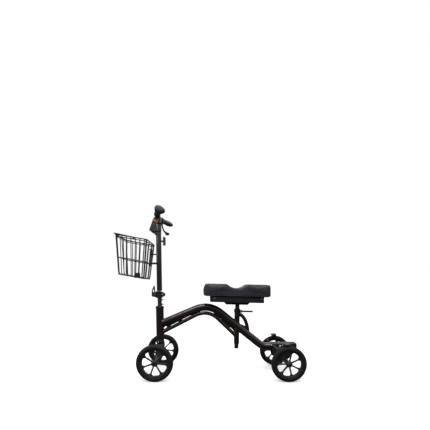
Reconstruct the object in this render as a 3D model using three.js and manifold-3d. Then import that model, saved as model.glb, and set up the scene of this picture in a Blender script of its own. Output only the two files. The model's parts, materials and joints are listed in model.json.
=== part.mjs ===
// Folding knee scooter in millimetres: +X forward, +Y to the rider's left, +Z up, standing on Z = 0.
// Left and right pieces are the same shape mirrored across the Y = 0 plane.
import * as THREE from "three";
import { ConvexGeometry } from "three/addons/geometries/ConvexGeometry.js";
import { mergeVertices } from "three/addons/utils/BufferGeometryUtils.js";
import Module from "manifold-3d";

const wasm = await Module();
wasm.setup();

// ---------- driving dimensions ----------
const GAP = 0.3; // clearance between pieces that touch
const RUNNING = 0.6; // radial clearance of a shaft that turns or slides
const PAST = 2; // how far a cutting shape runs past the face it cuts

const HALF_TRACK = 190; // centre plane of each wheel
const FRONT_WHEEL = { radius: 100, x: 270, firstSpoke: 32.3 };
const REAR_WHEEL = { radius: 95, x: -450, firstSpoke: 0.4 };
const WHEEL = { sides: 32, spokes: 7, tyreWidth: 32, hubWidth: 36, hubRadius: 16 };
const TYRE_BEAD = 0.78; // share of the wheel's radius where the tyre meets its rim
const WINDOW = 0.69; // share of the wheel's radius where the spoke windows end
const AXLE_R = 6;
const AXLE_HEAD = { radius: 10, thickness: 7 };

const STEERING = { x: 261, lean: 0.95 }; // where its axis meets the floor, and degrees forward
const KNEE = { x: -182, lean: -1.36 }; // the same for the knee post
const WALL = 2; // of the frame's tubes

const HEAD_TUBE = { radius: 23, bore: 19, bottom: 178, top: 391 };
const SHAFT = { radius: 12.5, bottom: 151, top: 450 };
const SHAFT_WALL = 3;
const UPPER_TUBE_R = 22;
const LOWER_TUBE_R = 11;
const ARC_TUBE_R = 10.5;
const WEB = 6; // thickness of the webs between the tubes
const WEB_SLIT = { height: 3.2, stretches: [[201, 158], [134, 79], [-148, -170]] };
const SEAT_TUBE = { radius: 15.5, bottom: 171, top: 379 };
const POST = { radius: 12.5, bottom: 144, top: 403 };
const AXLE_TUBE = { radius: 13, halfLength: 168 };

const TAIL_BOX = { front: -389, rear: -534, bottom: 144, top: 178, halfWidth: 32, sheet: 3 };
const TAIL_PLATE = 4; // thickness
const BRAKE_PIVOT = { x: -396, z: 168, radius: 4 };
const BRAKE_SHOE = { angle: 85, inside: 99.5, thickness: 9, length: 30, inner: 158, outer: 204 };

const STOP_SCREW = { upperZ: 430, lowerZ: 404, tip: -23, headR: 4, shankR: 2.5 };
const CROWN = { bottom: 150, top: 172, halfLength: 21, halfWidth: 48, cheek: 6 };
const FOLD = { split: 462, pinX: -20.6, pinZ: 461, pinR: 4, eyeR: 12.5, knuckle: 8, ear: 15, halfWidth: 17 };
const FOLD_LEVER = { pivotX: 33, pivotZ: 456, pivotR: 3.8, halfWidth: 8 };
const COLUMN = { radius: 15.5, bottom: 483, top: 811 };
const STEM = { radius: 12.5, bottom: 620, top: 901 };
const BAR = { radius: 11, z: 914, sweep: -26, rise: 11, bendY: 45, halfLength: 226 };
const HOUSING_HALF = 21; // half the width of the housing that joins the stem and the bar
const BUTTON = { x: 17, z: 896, halfLength: 15.5, halfHeight: 6, tilt: -22, travel: 4 };
const KNOB = { z: 776, bar: 54, thickness: 15, near: -26, far: -41 };
const GRIP = { inner: 108, outer: 230, radius: 14 };
const LEVER_PIVOT = { x: -10, y: 92, z: 899, radius: 3 };
const LEVER_BAND = 7; // thickness of the lever bracket's band round the bar

const BRACKET = { upperZ: 699, lowerZ: 646 };
const BASKET = {
  bottomRear: [68, 553], bottomFront: [221, 583], bottomHalf: 115,
  topRear: [43, 769], topFront: [224, 803], topHalf: 145,
  wall: 3, rearCorner: 12, frontCorner: 14,
};
const CARRY = { pivotX: 117, front: 226, half: 149.5, wireR: 3, bend: 15, eyeR: 6, pinR: 2.2 };

const CUSHION = { front: 205, rear: -183, bottom: 452, top: 522, halfWidth: 95, round: 14 };
const SADDLE = { front: 74, rear: -55, depth: 26 };
const TRAY = { front: 162, rear: -144, bottom: 418, halfWidth: 80, wall: 4 };
const KNEE_BRACKET = { front: 82, rear: -68, footFront: 70, footRear: -56, halfWidth: 45, sheet: 4 };
const CLAMP = { pinX: -26, low: 356, high: 370, pinR: 3, bar: 5, reach: -91 };

// ---------- shape helpers ----------
const degrees = THREE.MathUtils.degToRad;

function solid(geometry) {
  const bare = geometry.index ? geometry.toNonIndexed() : geometry.clone();
  bare.deleteAttribute("normal");
  bare.deleteAttribute("uv");
  const merged = mergeVertices(bare, 1e-3);
  const vertProperties = merged.attributes.position.array;
  const triVerts = new Uint32Array(merged.index.array);
  return new wasm.Manifold(new wasm.Mesh({ numProp: 3, vertProperties, triVerts }));
}

function geometryOf(made) {
  const mesh = made.getMesh();
  const geometry = new THREE.BufferGeometry();
  geometry.setAttribute("position", new THREE.BufferAttribute(mesh.vertProperties, 3));
  geometry.setIndex(new THREE.BufferAttribute(mesh.triVerts, 1));
  return geometry;
}

const join = (...all) => geometryOf(all.map(solid).reduce((a, b) => a.add(b)));
const cut = (base, ...tools) => geometryOf(tools.map(solid).reduce((a, b) => a.subtract(b), solid(base)));

/** A regular polygon whose flats, not its corners, lie at the radius when outside is true. */
function polygon(radius, sides, outside = false) {
  const reach = outside ? radius / Math.cos(Math.PI / sides) : radius;
  const corner = (i) => {
    const angle = ((i + 0.5) * 2 * Math.PI) / sides;
    return new THREE.Vector2(reach * Math.cos(angle), reach * Math.sin(angle));
  };
  return Array.from({ length: sides }, (_, i) => corner(i));
}

/** A round rod along Z from low to high. */
function rod(radius, low, high, sides = 20, outside = false) {
  const shape = new THREE.Shape(polygon(radius, sides, outside));
  return new THREE.ExtrudeGeometry(shape, { depth: high - low, bevelEnabled: false }).translate(0, 0, low);
}

const rodX = (...size) => rod(...size).rotateY(Math.PI / 2);
const rodY = (...size) => rod(...size).rotateX(-Math.PI / 2);

/** A tube along Z whose bore clears a shaft of the inner radius. */
function pipe(outer, inner, low, high, sides = 24) {
  const shape = new THREE.Shape(polygon(outer, sides));
  shape.holes.push(new THREE.Path(polygon(inner, sides, true)));
  return new THREE.ExtrudeGeometry(shape, { depth: high - low, bevelEnabled: false }).translate(0, 0, low);
}

const pipeY = (...size) => pipe(...size).rotateX(-Math.PI / 2);

/** A box from its lowest to its highest corner. */
function box([x0, y0, z0], [x1, y1, z1]) {
  const centre = [(x0 + x1) / 2, (y0 + y1) / 2, (z0 + z1) / 2];
  return new THREE.BoxGeometry(x1 - x0, y1 - y0, z1 - z0).translate(...centre);
}

/** A side outline of [x, z] points, given thickness from y = low to y = high. */
function slab(outline, low, high) {
  const drawn = outline instanceof THREE.Shape;
  const shape = drawn ? outline : new THREE.Shape(outline.map((p) => new THREE.Vector2(...p)));
  const settings = { depth: high - low, bevelEnabled: false, curveSegments: 10 };
  return new THREE.ExtrudeGeometry(shape, settings).rotateX(Math.PI / 2).translate(0, high, 0);
}

/** A ring about the Y axis, from its section's [radius, y] points. */
function ring(section, sides, phase = 0) {
  const points = [...section, section[0]].map(([r, y]) => new THREE.Vector2(r, y));
  return new THREE.LatheGeometry(points, sides).rotateY(phase);
}

/** A path of straight runs between [x, y, z, bend] corners, each rounded over its bend's length. */
function bentPath(corners) {
  const at = corners.map(([x, y, z]) => new THREE.Vector3(x, y, z));
  const path = new THREE.CurvePath();
  let from = at[0];
  corners.slice(1, -1).forEach(([, , , bend], i) => {
    const corner = at[i + 1];
    const before = corner.clone().add(at[i].clone().sub(corner).setLength(bend));
    const after = corner.clone().add(at[i + 2].clone().sub(corner).setLength(bend));
    path.add(new THREE.LineCurve3(from, before));
    path.add(new THREE.QuadraticBezierCurve3(before, corner, after));
    from = after;
  });
  path.add(new THREE.LineCurve3(from, at.at(-1)));
  return path;
}

/** A tube or, with no inner radius, a rod along a path. */
function along(path, radius, inner, steps, sides = 12) {
  const shape = new THREE.Shape(polygon(radius, sides));
  if (inner) shape.holes.push(new THREE.Path(polygon(inner, sides)));
  return new THREE.ExtrudeGeometry(shape, { steps, extrudePath: path, bevelEnabled: false });
}

/** The convex solid around a list of [x, y, z] points. */
const hull = (points) => new ConvexGeometry(points.map((p) => new THREE.Vector3(...p)));

// ---------- finishes ----------
const FINISHES = {
  burgundy: { color: 0x33262a, roughness: 0.28, metalness: 0.45 },
  black: { color: 0x1e1e20, roughness: 0.4, metalness: 0.4 },
  column: { color: 0x2b2e35, roughness: 0.35, metalness: 0.5 },
  steel: { color: 0xb4b6b8, roughness: 0.3, metalness: 0.9 },
  plastic: { color: 0x1c1c1e, roughness: 0.55, metalness: 0 },
  tyre: { color: 0x161616, roughness: 0.8, metalness: 0 },
  orange: { color: 0xc5593b, roughness: 0.5, metalness: 0 },
  wire: { color: 0x141414, roughness: 0.4, metalness: 0.2 },
  vinyl: { color: 0x2f3034, roughness: 0.5, metalness: 0 },
};

function piece(name, geometry, finish) {
  geometry.computeVertexNormals();
  const mesh = new THREE.Mesh(geometry, new THREE.MeshStandardMaterial(FINISHES[finish]));
  mesh.name = name;
  return mesh;
}

/** The left piece and its mirror image. */
function pair(name, geometry, finish) {
  const left = piece(name + "_left", geometry, finish);
  const right = piece(name + "_right", geometry.clone(), finish);
  right.scale.y = -1;
  return [left, right];
}

// ---------- wheels, axles and their tubes ----------
function tyre(radius) {
  const half = WHEEL.tyreWidth / 2;
  const bead = radius * TYRE_BEAD;
  const shoulder = radius - 7;
  const flat = radius / Math.cos(Math.PI / WHEEL.sides);
  const section = [[bead, -half + 4], [shoulder, -half], [flat, -half + 9]];
  const mirrored = section.map(([r, y]) => [r, -y]).reverse();
  return ring([...section, ...mirrored], WHEEL.sides, Math.PI / WHEEL.sides);
}

function rim(radius, firstSpoke) {
  const { hubWidth, hubRadius, sides, spokes } = WHEEL;
  const outer = radius * TYRE_BEAD - GAP - 0.2;
  const inner = radius * WINDOW;
  const phase = Math.PI / sides;
  const band = ring([[inner, -9], [outer, -11], [outer, 11], [inner, 9]], sides, phase);
  const hub = rodY(hubRadius, -hubWidth / 2, hubWidth / 2, 16);
  const bore = rodY(AXLE_R + RUNNING, -hubWidth, hubWidth, 16);
  const arms = Array.from({ length: spokes }, (_, i) => {
    const tip = inner + 3;
    const outline = [[10, -3], [tip - 14, -2.6], [tip, -7], [tip, 7], [tip - 14, 2.6], [10, 3]];
    const spoke = slab(outline, -6, 6);
    return spoke.rotateY(-degrees(firstSpoke + (i * 360) / spokes));
  });
  return cut(join(band, hub, ...arms), bore);
}

function wheels(end, { radius, x, firstSpoke }) {
  return [["left", 1], ["right", -1]].map(([side, way]) => {
    const wheel = new THREE.Group();
    wheel.add(piece(`tyre_${end}_${side}`, tyre(radius), "tyre"));
    wheel.add(piece(`rim_${end}_${side}`, rim(radius, firstSpoke), "black"));
    wheel.position.set(x, way * HALF_TRACK, radius);
    return wheel;
  });
}

/** An axle bolt with its head on the left, its nut, and the cross tube it runs in. */
function axle(end, { radius, x }) {
  const shoulder = HALF_TRACK + WHEEL.hubWidth / 2 + 1;
  const tip = shoulder + AXLE_HEAD.thickness;
  const shank = rodY(AXLE_R, -tip, shoulder + 1, 16);
  const head = rodY(AXLE_HEAD.radius, shoulder, tip, 6);
  const nut = cut(
    rodY(AXLE_HEAD.radius, -tip, -shoulder, 6),
    rodY(AXLE_R + GAP, -tip - PAST, -shoulder + PAST, 16, true),
  );
  const tube = pipeY(AXLE_TUBE.radius, AXLE_R + GAP, -AXLE_TUBE.halfLength, AXLE_TUBE.halfLength);
  const group = new THREE.Group();
  group.add(piece(`${end}_axle`, join(shank, head), "black"));
  group.add(piece(`${end}_axle_nut`, nut, "black"));
  group.add(piece(`${end}_axle_tube`, tube, "black"));
  group.position.set(x, 0, radius);
  return group;
}

// ---------- frame ----------
const upperPath = bentPath([
  [250, 0, 293.2],
  [-23.2, 0, 408.9, 90],
  [-339.4, 0, 156, 50],
  [TAIL_BOX.front + GAP, 0, 156],
]);
const lowerPath = bentPath([[255, 0, 237], [-17.1, 0, 376.5, 88], [-186, 0, 214]]);
const UPPER_STEPS = 26;
const LOWER_STEPS = 20;

/** The outside of a tube on a leaning axis, grown by the gap, for cutting its neighbours. */
function leaningTool(axis, radius, low, high) {
  const tool = rod(radius + GAP, low, high, 24, true).rotateY(degrees(axis.lean));
  return tool.translate(axis.x, 0, 0);
}

function frameTubes() {
  const headTool = leaningTool(STEERING, HEAD_TUBE.radius, 100, 450);
  const seatTool = leaningTool(KNEE, SEAT_TUBE.radius, 100, 450);
  const upper = cut(along(upperPath, UPPER_TUBE_R, UPPER_TUBE_R - WALL, UPPER_STEPS), headTool, seatTool);
  const lower = cut(along(lowerPath, LOWER_TUBE_R, LOWER_TUBE_R - WALL, LOWER_STEPS, 10), headTool, seatTool);
  return [piece("upper_tube", upper, "burgundy"), piece("lower_tube", lower, "burgundy")];
}

/** The largest body of a geometry that cuts have left in several. */
function largest(geometry) {
  const bodies = solid(geometry).decompose();
  return geometryOf(bodies.sort((a, b) => b.volume() - a.volume())[0]);
}

/** The webs that fill the wedges between the two tubes, each with slits left along the lower tube. */
function webs() {
  const tools = [
    leaningTool(STEERING, HEAD_TUBE.radius, 100, 450),
    leaningTool(KNEE, SEAT_TUBE.radius, 100, 450),
    along(upperPath, UPPER_TUBE_R + GAP, 0, UPPER_STEPS),
    along(lowerPath, LOWER_TUBE_R + GAP, 0, LOWER_STEPS, 10),
  ];
  const slitTool = along(lowerPath, LOWER_TUBE_R + WEB_SLIT.height, 0, LOWER_STEPS, 10);
  const slits = WEB_SLIT.stretches.map(([ahead, behind]) =>
    cut(slitTool, box([ahead, -50, 100], [400, 50, 500]), box([-400, -50, 100], [behind, 50, 500])),
  );
  const windowEnds = [[239, 264], [230, 270.5]];
  const window = hull(windowEnds.flatMap(([x, z]) =>
    polygon(4, 12).flatMap((p) => [[x + p.x, -WEB, z + p.y], [x + p.x, WEB, z + p.y]]),
  ));
  const front = [[252, 292], [252, 238], [61, 336], [28, 348], [28, 384], [60, 374]];
  const rear = [[-185, 290], [-185, 225], [-80, 315], [-51, 337], [-51, 377], [-93, 353]];
  const [frontWeb, rearWeb] = [front, rear].map((outline) =>
    largest(cut(slab(outline, -WEB / 2, WEB / 2), window, ...slits, ...tools)),
  );
  return [piece("front_web", frontWeb, "burgundy"), piece("rear_web", rearWeb, "burgundy")];
}

/** The curved brace behind the seat tube, with the small plate welded into its foot. */
function gusset() {
  const seatTool = leaningTool(KNEE, SEAT_TUBE.radius, 100, 450);
  const upperTool = along(upperPath, UPPER_TUBE_R + GAP, 0, UPPER_STEPS);
  const corners = [[-190, 349], [-228, 345], [-254, 300], [-254, 215]];
  const curve = new THREE.CubicBezierCurve3(...corners.map(([x, z]) => new THREE.Vector3(x, 0, z)));
  const steps = 14;
  const outline = [[-200, 292], [-236, 277], [-262, 262], [-262, 215], [-200, 250]];
  const bore = along(curve, ARC_TUBE_R - WALL, 0, steps);
  const plate = cut(slab(outline, -WEB / 2, WEB / 2), bore);
  const arc = join(along(curve, ARC_TUBE_R, ARC_TUBE_R - WALL, steps), plate);
  return piece("gusset_arc", largest(cut(arc, seatTool, upperTool)), "burgundy");
}

/** The channel over the rear axle, its bolts, and the two plates that carry the axle tube. */
function tail() {
  const { front, rear, bottom, top, halfWidth, sheet } = TAIL_BOX;
  const inside = box(
    [rear + sheet, -halfWidth + sheet, bottom - PAST],
    [front - sheet, halfWidth - sheet, top - sheet],
  );
  const plateIn = halfWidth + GAP;
  const boltR = 3.5;
  const headIn = plateIn + TAIL_PLATE + GAP;
  const headOut = headIn + 4;
  const across = 2 * halfWidth;
  const boltHole = ([x, z]) => rodY(boltR + GAP, -across, across, 12, true).translate(x, 0, z);
  const boltAt = [[-436, 162], [-457, 167]];
  const channel = cut(
    box([rear, -halfWidth, bottom], [front, halfWidth, top]),
    inside,
    ...boltAt.map(boltHole),
  );
  const bolts = boltAt.map(([x, z], i) => {
    const heads = [rodY(7, headIn, headOut, 12), rodY(7, -headOut, -headIn, 12)];
    const bolt = join(rodY(boltR, -headOut, headOut, 12), ...heads).translate(x, 0, z);
    return piece(`tail_bolt_${i ? "rear" : "front"}`, bolt, "steel");
  });
  const axleX = REAR_WHEEL.x;
  const outline = [
    [front - 1, top - 2], [front - 1, bottom], [-397, 100], [axleX + 22, 78],
    [axleX - 22, 78], [-495, 100], [-508, 150], [-512, top - 2],
  ];
  const cuts = [
    rodY(AXLE_TUBE.radius + GAP, plateIn - PAST, plateIn + TAIL_PLATE + PAST, 24, true)
      .translate(axleX, 0, REAR_WHEEL.radius),
    rodY(BRAKE_PIVOT.radius + RUNNING, plateIn - PAST, plateIn + TAIL_PLATE + PAST, 12, true)
      .translate(BRAKE_PIVOT.x, 0, BRAKE_PIVOT.z),
    ...boltAt.map(boltHole),
  ];
  const plate = cut(slab(outline, plateIn, plateIn + TAIL_PLATE), ...cuts);
  return [piece("tail_box", channel, "burgundy"), ...bolts, ...pair("tail_plate", plate, "black")];
}

/** A rear brake: a cross rod in the tail plate, an arm beside the tyre and a shoe over it. */
function brakeArms() {
  const { angle, inside, thickness, length, inner, outer } = BRAKE_SHOE;
  const shoe = box([-length / 2, inner, inside], [length / 2, outer, inside + thickness])
    .rotateY(degrees(90 - angle))
    .translate(REAR_WHEEL.x, 0, REAR_WHEEL.radius);
  const reach = inside + thickness / 2;
  const shoeX = REAR_WHEEL.x + reach * Math.cos(degrees(angle));
  const shoeZ = REAR_WHEEL.radius + reach * Math.sin(degrees(angle));
  const { x, z, radius } = BRAKE_PIVOT;
  const half = 6;
  const arm = hull([inner, inner + 8].flatMap((y) => [
    [x + half, y, z], [x - half, y, z - half], [x, y, z + half],
    [shoeX + half, y, shoeZ - 3], [shoeX - half, y, shoeZ - 3], [shoeX, y, shoeZ + 3],
  ]));
  const pivot = rodY(radius, TAIL_BOX.halfWidth + 1, inner + 8, 12).translate(x, 0, z);
  return pair("brake_arm", join(pivot, arm, shoe), "black");
}

// ---------- head tube, steering shaft and front fork ----------
/** A head bearing: a flange outside the head tube and a neck inside it. */
function headBearing(flangeLow, flangeHigh, neckLow, neckHigh) {
  const flange = pipe(HEAD_TUBE.radius - 3, SHAFT.radius + RUNNING, flangeLow, flangeHigh);
  const neck = pipe(HEAD_TUBE.bore - GAP, SHAFT.radius + RUNNING, neckLow, neckHigh);
  return join(flange, neck);
}

function headTube() {
  const { radius, bore, bottom, top } = HEAD_TUBE;
  return [
    piece("head_tube", pipe(radius, bore, bottom, top), "burgundy"),
    piece("head_bearing_lower", headBearing(bottom - 4, bottom - GAP, bottom - 1, bottom + 16), "black"),
    piece("head_bearing_upper", headBearing(top + GAP, top + 4, top - 16, top + 1), "black"),
  ];
}

/** The fork: a crown block on the shaft, with two cheeks down to the front axle tube. */
function fork() {
  const axleX = FRONT_WHEEL.x - STEERING.x - Math.sin(degrees(STEERING.lean)) * FRONT_WHEEL.radius;
  const axleZ = FRONT_WHEEL.radius;
  const { bottom, top, halfLength, halfWidth, cheek } = CROWN;
  const crown = box([-halfLength, -halfWidth, bottom], [halfLength, halfWidth, top]);
  const outline = [
    [-19, 160], [19, 160], [axleX + 21, axleZ], [axleX + 12, 80], [axleX - 12, 80], [-17, axleZ],
  ];
  const cheeks = [-halfWidth, halfWidth - cheek].map((low) => slab(outline, low, low + cheek));
  const shaftHole = rod(SHAFT.radius + GAP, 140, 180, 24, true);
  const axleHole = rodY(AXLE_TUBE.radius + GAP, -60, 60, 24, true).translate(axleX, 0, axleZ);
  const { upperZ, lowerZ, tip, headR, shankR } = STOP_SCREW;
  const holes = [upperZ, lowerZ].map((z) =>
    rodX(shankR + GAP, -SHAFT.radius - PAST, -SHAFT.radius / 2, 10, true).translate(0, 0, z),
  );
  const shaft = cut(pipe(SHAFT.radius, SHAFT.radius - SHAFT_WALL, SHAFT.bottom, SHAFT.top), ...holes);
  const screws = [["upper", upperZ], ["lower", lowerZ]].map(([name, z]) => {
    const head = rodX(headR, tip, -SHAFT.radius - GAP, 10);
    const shank = rodX(shankR, -SHAFT.radius - 1, -SHAFT.radius + 2, 10);
    return piece(`stop_screw_${name}`, join(head, shank).translate(0, 0, z), "black");
  });
  return [
    piece("steering_shaft", shaft, "column"),
    piece("fork_crown", cut(join(crown, ...cheeks), shaftHole, axleHole), "black"),
    ...screws,
  ];
}

// ---------- fold joint ----------
/** The lower half of the fold joint: a socket on the shaft, two hinge ears and two lever cheeks. */
function foldBase() {
  const { split, pinX, pinZ, pinR, eyeR, knuckle, ear, halfWidth } = FOLD;
  const { pivotX, pivotZ, pivotR } = FOLD_LEVER;
  const socket = slab([[-16, 441], [12, 441], [30, 449], [30, split], [-16, split]], -halfWidth, halfWidth);
  const eyes = rodY(eyeR, -ear, ear, 16).translate(pinX, 0, pinZ);
  const reach = eyeR + PAST;
  const slot = box([pinX - reach, -knuckle - GAP, pinZ - reach], [pinX + eyeR + 1, knuckle + GAP, 480]);
  const pinHole = rodY(pinR + GAP, -30, 30, 12, true).translate(pinX, 0, pinZ);
  const shaftHole = rod(SHAFT.radius + GAP, 430, 480, 24, true);
  const leverHole = rodY(pivotR + RUNNING, -30, 30, 12, true).translate(pivotX, 0, pivotZ);
  const cheeks = slab([[26, 449], [39, 449], [39, split], [26, split]], -halfWidth, halfWidth);
  const leverSlot = box([24.5, -FOLD_LEVER.halfWidth - 1, 440], [50, FOLD_LEVER.halfWidth + 1, 480]);
  return cut(join(socket, eyes, cheeks), slot, pinHole, shaftHole, leverHole, leverSlot);
}

/** The upper half: a block under the column with the knuckle between the ears. */
function foldHead() {
  const { split, pinX, pinZ, pinR, eyeR, knuckle, halfWidth } = FOLD;
  const outline = [[-7, split + GAP], [25, split + GAP], [25, 472], [18, 482], [-7, 482]];
  const block = slab(outline, -halfWidth, halfWidth);
  const eye = rodY(eyeR, -knuckle, knuckle, 16).translate(pinX, 0, pinZ);
  const web = box([pinX, -knuckle, split + GAP], [0, knuckle, 478]);
  const pinHole = rodY(pinR + RUNNING, -30, 30, 12, true).translate(pinX, 0, pinZ);
  const socketRoof = box([-17 - SHAFT.radius, -40, 400], [60, 40, split + GAP]);
  const trimmed = cut(join(block, web), socketRoof);
  return cut(join(trimmed, eye), pinHole);
}

/** The quick-release lever at the front of the fold block, with a finger window through it. */
function foldLever() {
  const { pivotX, pivotZ, pivotR, halfWidth } = FOLD_LEVER;
  const outline = [
    [30.5, 451], [40, 449], [46, 456], [46, 472], [43, 490], [36, 508], [33, 515],
    [28.5, 513], [26.5, 497], [26, 485], [26, 465], [30.5, 462],
  ];
  const window = slab([[32, 478], [39.5, 476], [38.5, 488], [34.5, 494], [31, 488]], -20, 20);
  const pivot = rodY(pivotR, -15, 15, 12).translate(pivotX, 0, pivotZ);
  return join(cut(slab(outline, -halfWidth, halfWidth), window), pivot);
}

// ---------- column, knob and basket bracket ----------
function column() {
  const { radius, bottom, top } = COLUMN;
  const screwHole = rodX(3.5 + GAP, -radius - PAST, -8, 12, true).translate(0, 0, KNOB.z);
  const tube = cut(pipe(radius, STEM.radius + RUNNING, bottom, top), screwHole);
  const collar = cut(
    slab([[-14, top + GAP], [17, top + GAP], [26, 822], [40, 830], [40, 833.5], [-14, 833.5]], -16, 16),
    rod(STEM.radius + RUNNING, top - 10, 840, 24, true),
  );
  const plate = hull([-32, 32].flatMap((y) => [[53.5, y, 630], [58, y, 630], [43.5, y, 720], [48, y, 720]]));
  const arms = [[4, BRACKET.upperZ, 48], [6, BRACKET.lowerZ, 54]].map(([r, z, reach]) =>
    cut(rodX(r, 8, reach, 12).translate(0, 0, z), rod(radius + GAP, z - 20, z + 20, 24, true)),
  );
  return [
    piece("column_tube", tube, "column"),
    piece("column_collar", collar, "plastic"),
    piece("basket_bracket", join(plate, ...arms), "black"),
  ];
}

function heightKnob() {
  const { z, bar, thickness, near, far } = KNOB;
  const screw = rodX(3.5, near - 1, -14, 12);
  const neck = rodX(6, near - 1, -17, 12);
  const middle = (near + far) / 2;
  const handle = hull([-thickness / 2, thickness / 2].flatMap((y) => [
    [near, y, -bar / 2 + 3], [near, y, bar / 2 - 3], [middle, y, bar / 2], [middle, y, -bar / 2],
    [far, y / 2, bar / 2 - 6], [far, y / 2, -bar / 2 + 6],
  ]));
  return piece("height_knob", join(screw, neck, handle).translate(0, 0, z), "plastic");
}

// ---------- handlebar ----------
/** A block where the release button lies, grown all round for the slot that it slides in. */
function buttonBlock(grow, extraLength, halfWidth) {
  const { x, z, halfLength, halfHeight, tilt } = BUTTON;
  const block = box(
    [-halfLength - grow - extraLength, -halfWidth, -halfHeight - grow],
    [halfLength + grow, halfWidth, halfHeight + grow],
  );
  return block.rotateY(degrees(tilt)).translate(x, 0, z);
}

/** The housing that carries the bar on the sliding stem, with a slot for its release button. */
function stemHousing() {
  const outline = [[-15, 835], [44, 835], [53, 842], [28, 907], [14, 926], [-12, 926], [-15, 905]];
  const body = slab(outline, -HOUSING_HALF, HOUSING_HALF);
  const stemHole = rod(STEM.radius + GAP, 820, STEM.top + 1, 24, true);
  const barHole = rodY(BAR.radius + GAP, -60, 60, 20, true).translate(0, 0, BAR.z);
  const slots = [1, -1].map((side) =>
    buttonBlock(RUNNING, BUTTON.travel + 1, 10).translate(0, side * (HOUSING_HALF + 6), 0),
  );
  const crossSlot = buttonBlock(RUNNING, BUTTON.travel + 1, 60);
  const keep = box([-60, -60, 800], [STEM.radius + 3, 60, 960]);
  return cut(body, stemHole, barHole, ...slots, cut(crossSlot, keep));
}

/** The release button: a bar across the housing's face with a cheek down each side. */
function releaseButton() {
  const whole = buttonBlock(0, 0, HOUSING_HALF + 1);
  const inside = HOUSING_HALF - 4 + RUNNING;
  const keep = box([-60, -inside, 800], [STEM.radius + 3 + BUTTON.travel + 1, inside, 960]);
  return piece("release_button", cut(whole, keep), "orange");
}

function barPath() {
  const { z, sweep, rise, bendY, halfLength } = BAR;
  const end = (side) => [sweep, side * halfLength, z + rise];
  return bentPath([end(-1), [0, -bendY, z, 18], [0, bendY, z, 18], end(1)]);
}

/** The point of the bar's left half at the given y, outside its bend. */
function barAt(y) {
  const share = (y - BAR.bendY) / (BAR.halfLength - BAR.bendY);
  return [BAR.sweep * share, y, BAR.z + BAR.rise * share];
}

/** A grip: a round sleeve that spreads rearward and down into a palm rest. */
function grip() {
  const [innerX, , innerZ] = barAt(GRIP.inner);
  const [outerX, , outerZ] = barAt(GRIP.outer);
  const ends = [[innerX, GRIP.inner, innerZ], [outerX, GRIP.outer, outerZ]];
  const sleeve = hull(ends.flatMap(([x, y, z]) =>
    polygon(GRIP.radius, 14).map((p) => [x + p.x, y, z + p.y]),
  ));
  const palm = hull([
    [innerX - 6, 126, innerZ + 8], [innerX - 12, 126, innerZ - 6],
    [outerX - 2, 229, outerZ + 13], [outerX + 9, 229, outerZ - 8],
    [outerX - 31, 174, outerZ - 5], [outerX - 27, 174, outerZ - 18],
    [outerX - 29, 226, outerZ - 1], [outerX - 42, 226, outerZ - 14],
    [outerX - 36, 226, outerZ - 21], [outerX - 10, 226, outerZ - 23],
  ]);
  return cut(join(sleeve, palm), barTool(GRIP.inner - 28, BAR.halfLength + 2.5));
}

/** The outside of the bar's left half, grown by the gap, for the pieces that are threaded on it. */
function barTool(low, high) {
  return hull([barAt(low), barAt(high)].flatMap(([x, y, z]) =>
    polygon(BAR.radius + GAP, 16, true).map((p) => [x + p.x, y, z + p.y]),
  ));
}

/** The bracket that holds a brake lever under the bar: a band, and ears before and behind the lever. */
function leverBracket() {
  const { x, y, z, radius } = LEVER_PIVOT;
  const [barX, , barZ] = barAt(y);
  const band = rodY(BAR.radius + LEVER_BAND, y - 9, y + 9, 20).translate(barX, 0, barZ);
  const ears = hull([y - 8, y + 8].flatMap((side) => [
    [x + 12, side, barZ - 6], [x + 12, side, z - 2], [x + 7, side, z - 6],
    [x - 7, side, z - 6], [x - 12, side, z - 2], [x - 12, side, barZ - 6],
  ]));
  const slot = box([x - 5 - RUNNING, y - 20, z - 20], [x + 5 + RUNNING, y + 20, z + 7]);
  const pinHole = rodX(radius + RUNNING, x - 30, x + 30, 12, true).translate(0, y, z);
  return cut(join(band, ears), barTool(y - 14, y + 14), slot, pinHole);
}

/** A brake lever: an eye on its pin, a neck down and rearward, and a paddle under the grip. */
function brakeLever() {
  const { x, y, z, radius } = LEVER_PIVOT;
  const eye = join(rodX(4.8, x - 4.6, x + 4.6, 12), rodX(radius, x - 10, x + 10, 12)).translate(0, y, z);
  const route = [
    { at: [x, y, z], wide: 4, tall: 4 },
    { at: [x - 1, y + 7, z - 20], wide: 4, tall: 4 },
    { at: [-16, y + 30, 860], wide: 6, tall: 4 },
    { at: [-22, 146, 853], wide: 8, tall: 5 },
    { at: [-29, 190, 850], wide: 12, tall: 8.5 },
    { at: [-30, 216, 849], wide: 13, tall: 8.5 },
  ];
  const corners = ({ at: [px, py, pz], wide, tall }) => [
    [px - wide, py, pz - tall + 2], [px + wide, py, pz - tall + 2],
    [px - wide, py, pz + tall - 2], [px + wide, py, pz + tall - 2],
    [px - wide + 2, py, pz - tall], [px + wide - 2, py, pz - tall],
    [px - wide + 2, py, pz + tall], [px + wide - 2, py, pz + tall],
    [px, py - 3, pz], [px, py + 3, pz],
  ];
  const links = route.slice(1).map((end, i) => hull([...corners(route[i]), ...corners(end)]));
  return join(eye, ...links);
}

function handlebar() {
  return [
    piece("stem_tube", pipe(STEM.radius, STEM.radius - WALL, STEM.bottom, STEM.top), "column"),
    piece("stem_housing", stemHousing(), "plastic"),
    releaseButton(),
    piece("handlebar", along(barPath(), BAR.radius, BAR.radius - WALL, 16), "black"),
    ...pair("grip", grip(), "plastic"),
    ...pair("lever_bracket", leverBracket(), "plastic"),
    ...pair("brake_lever", brakeLever(), "black"),
  ];
}

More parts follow.
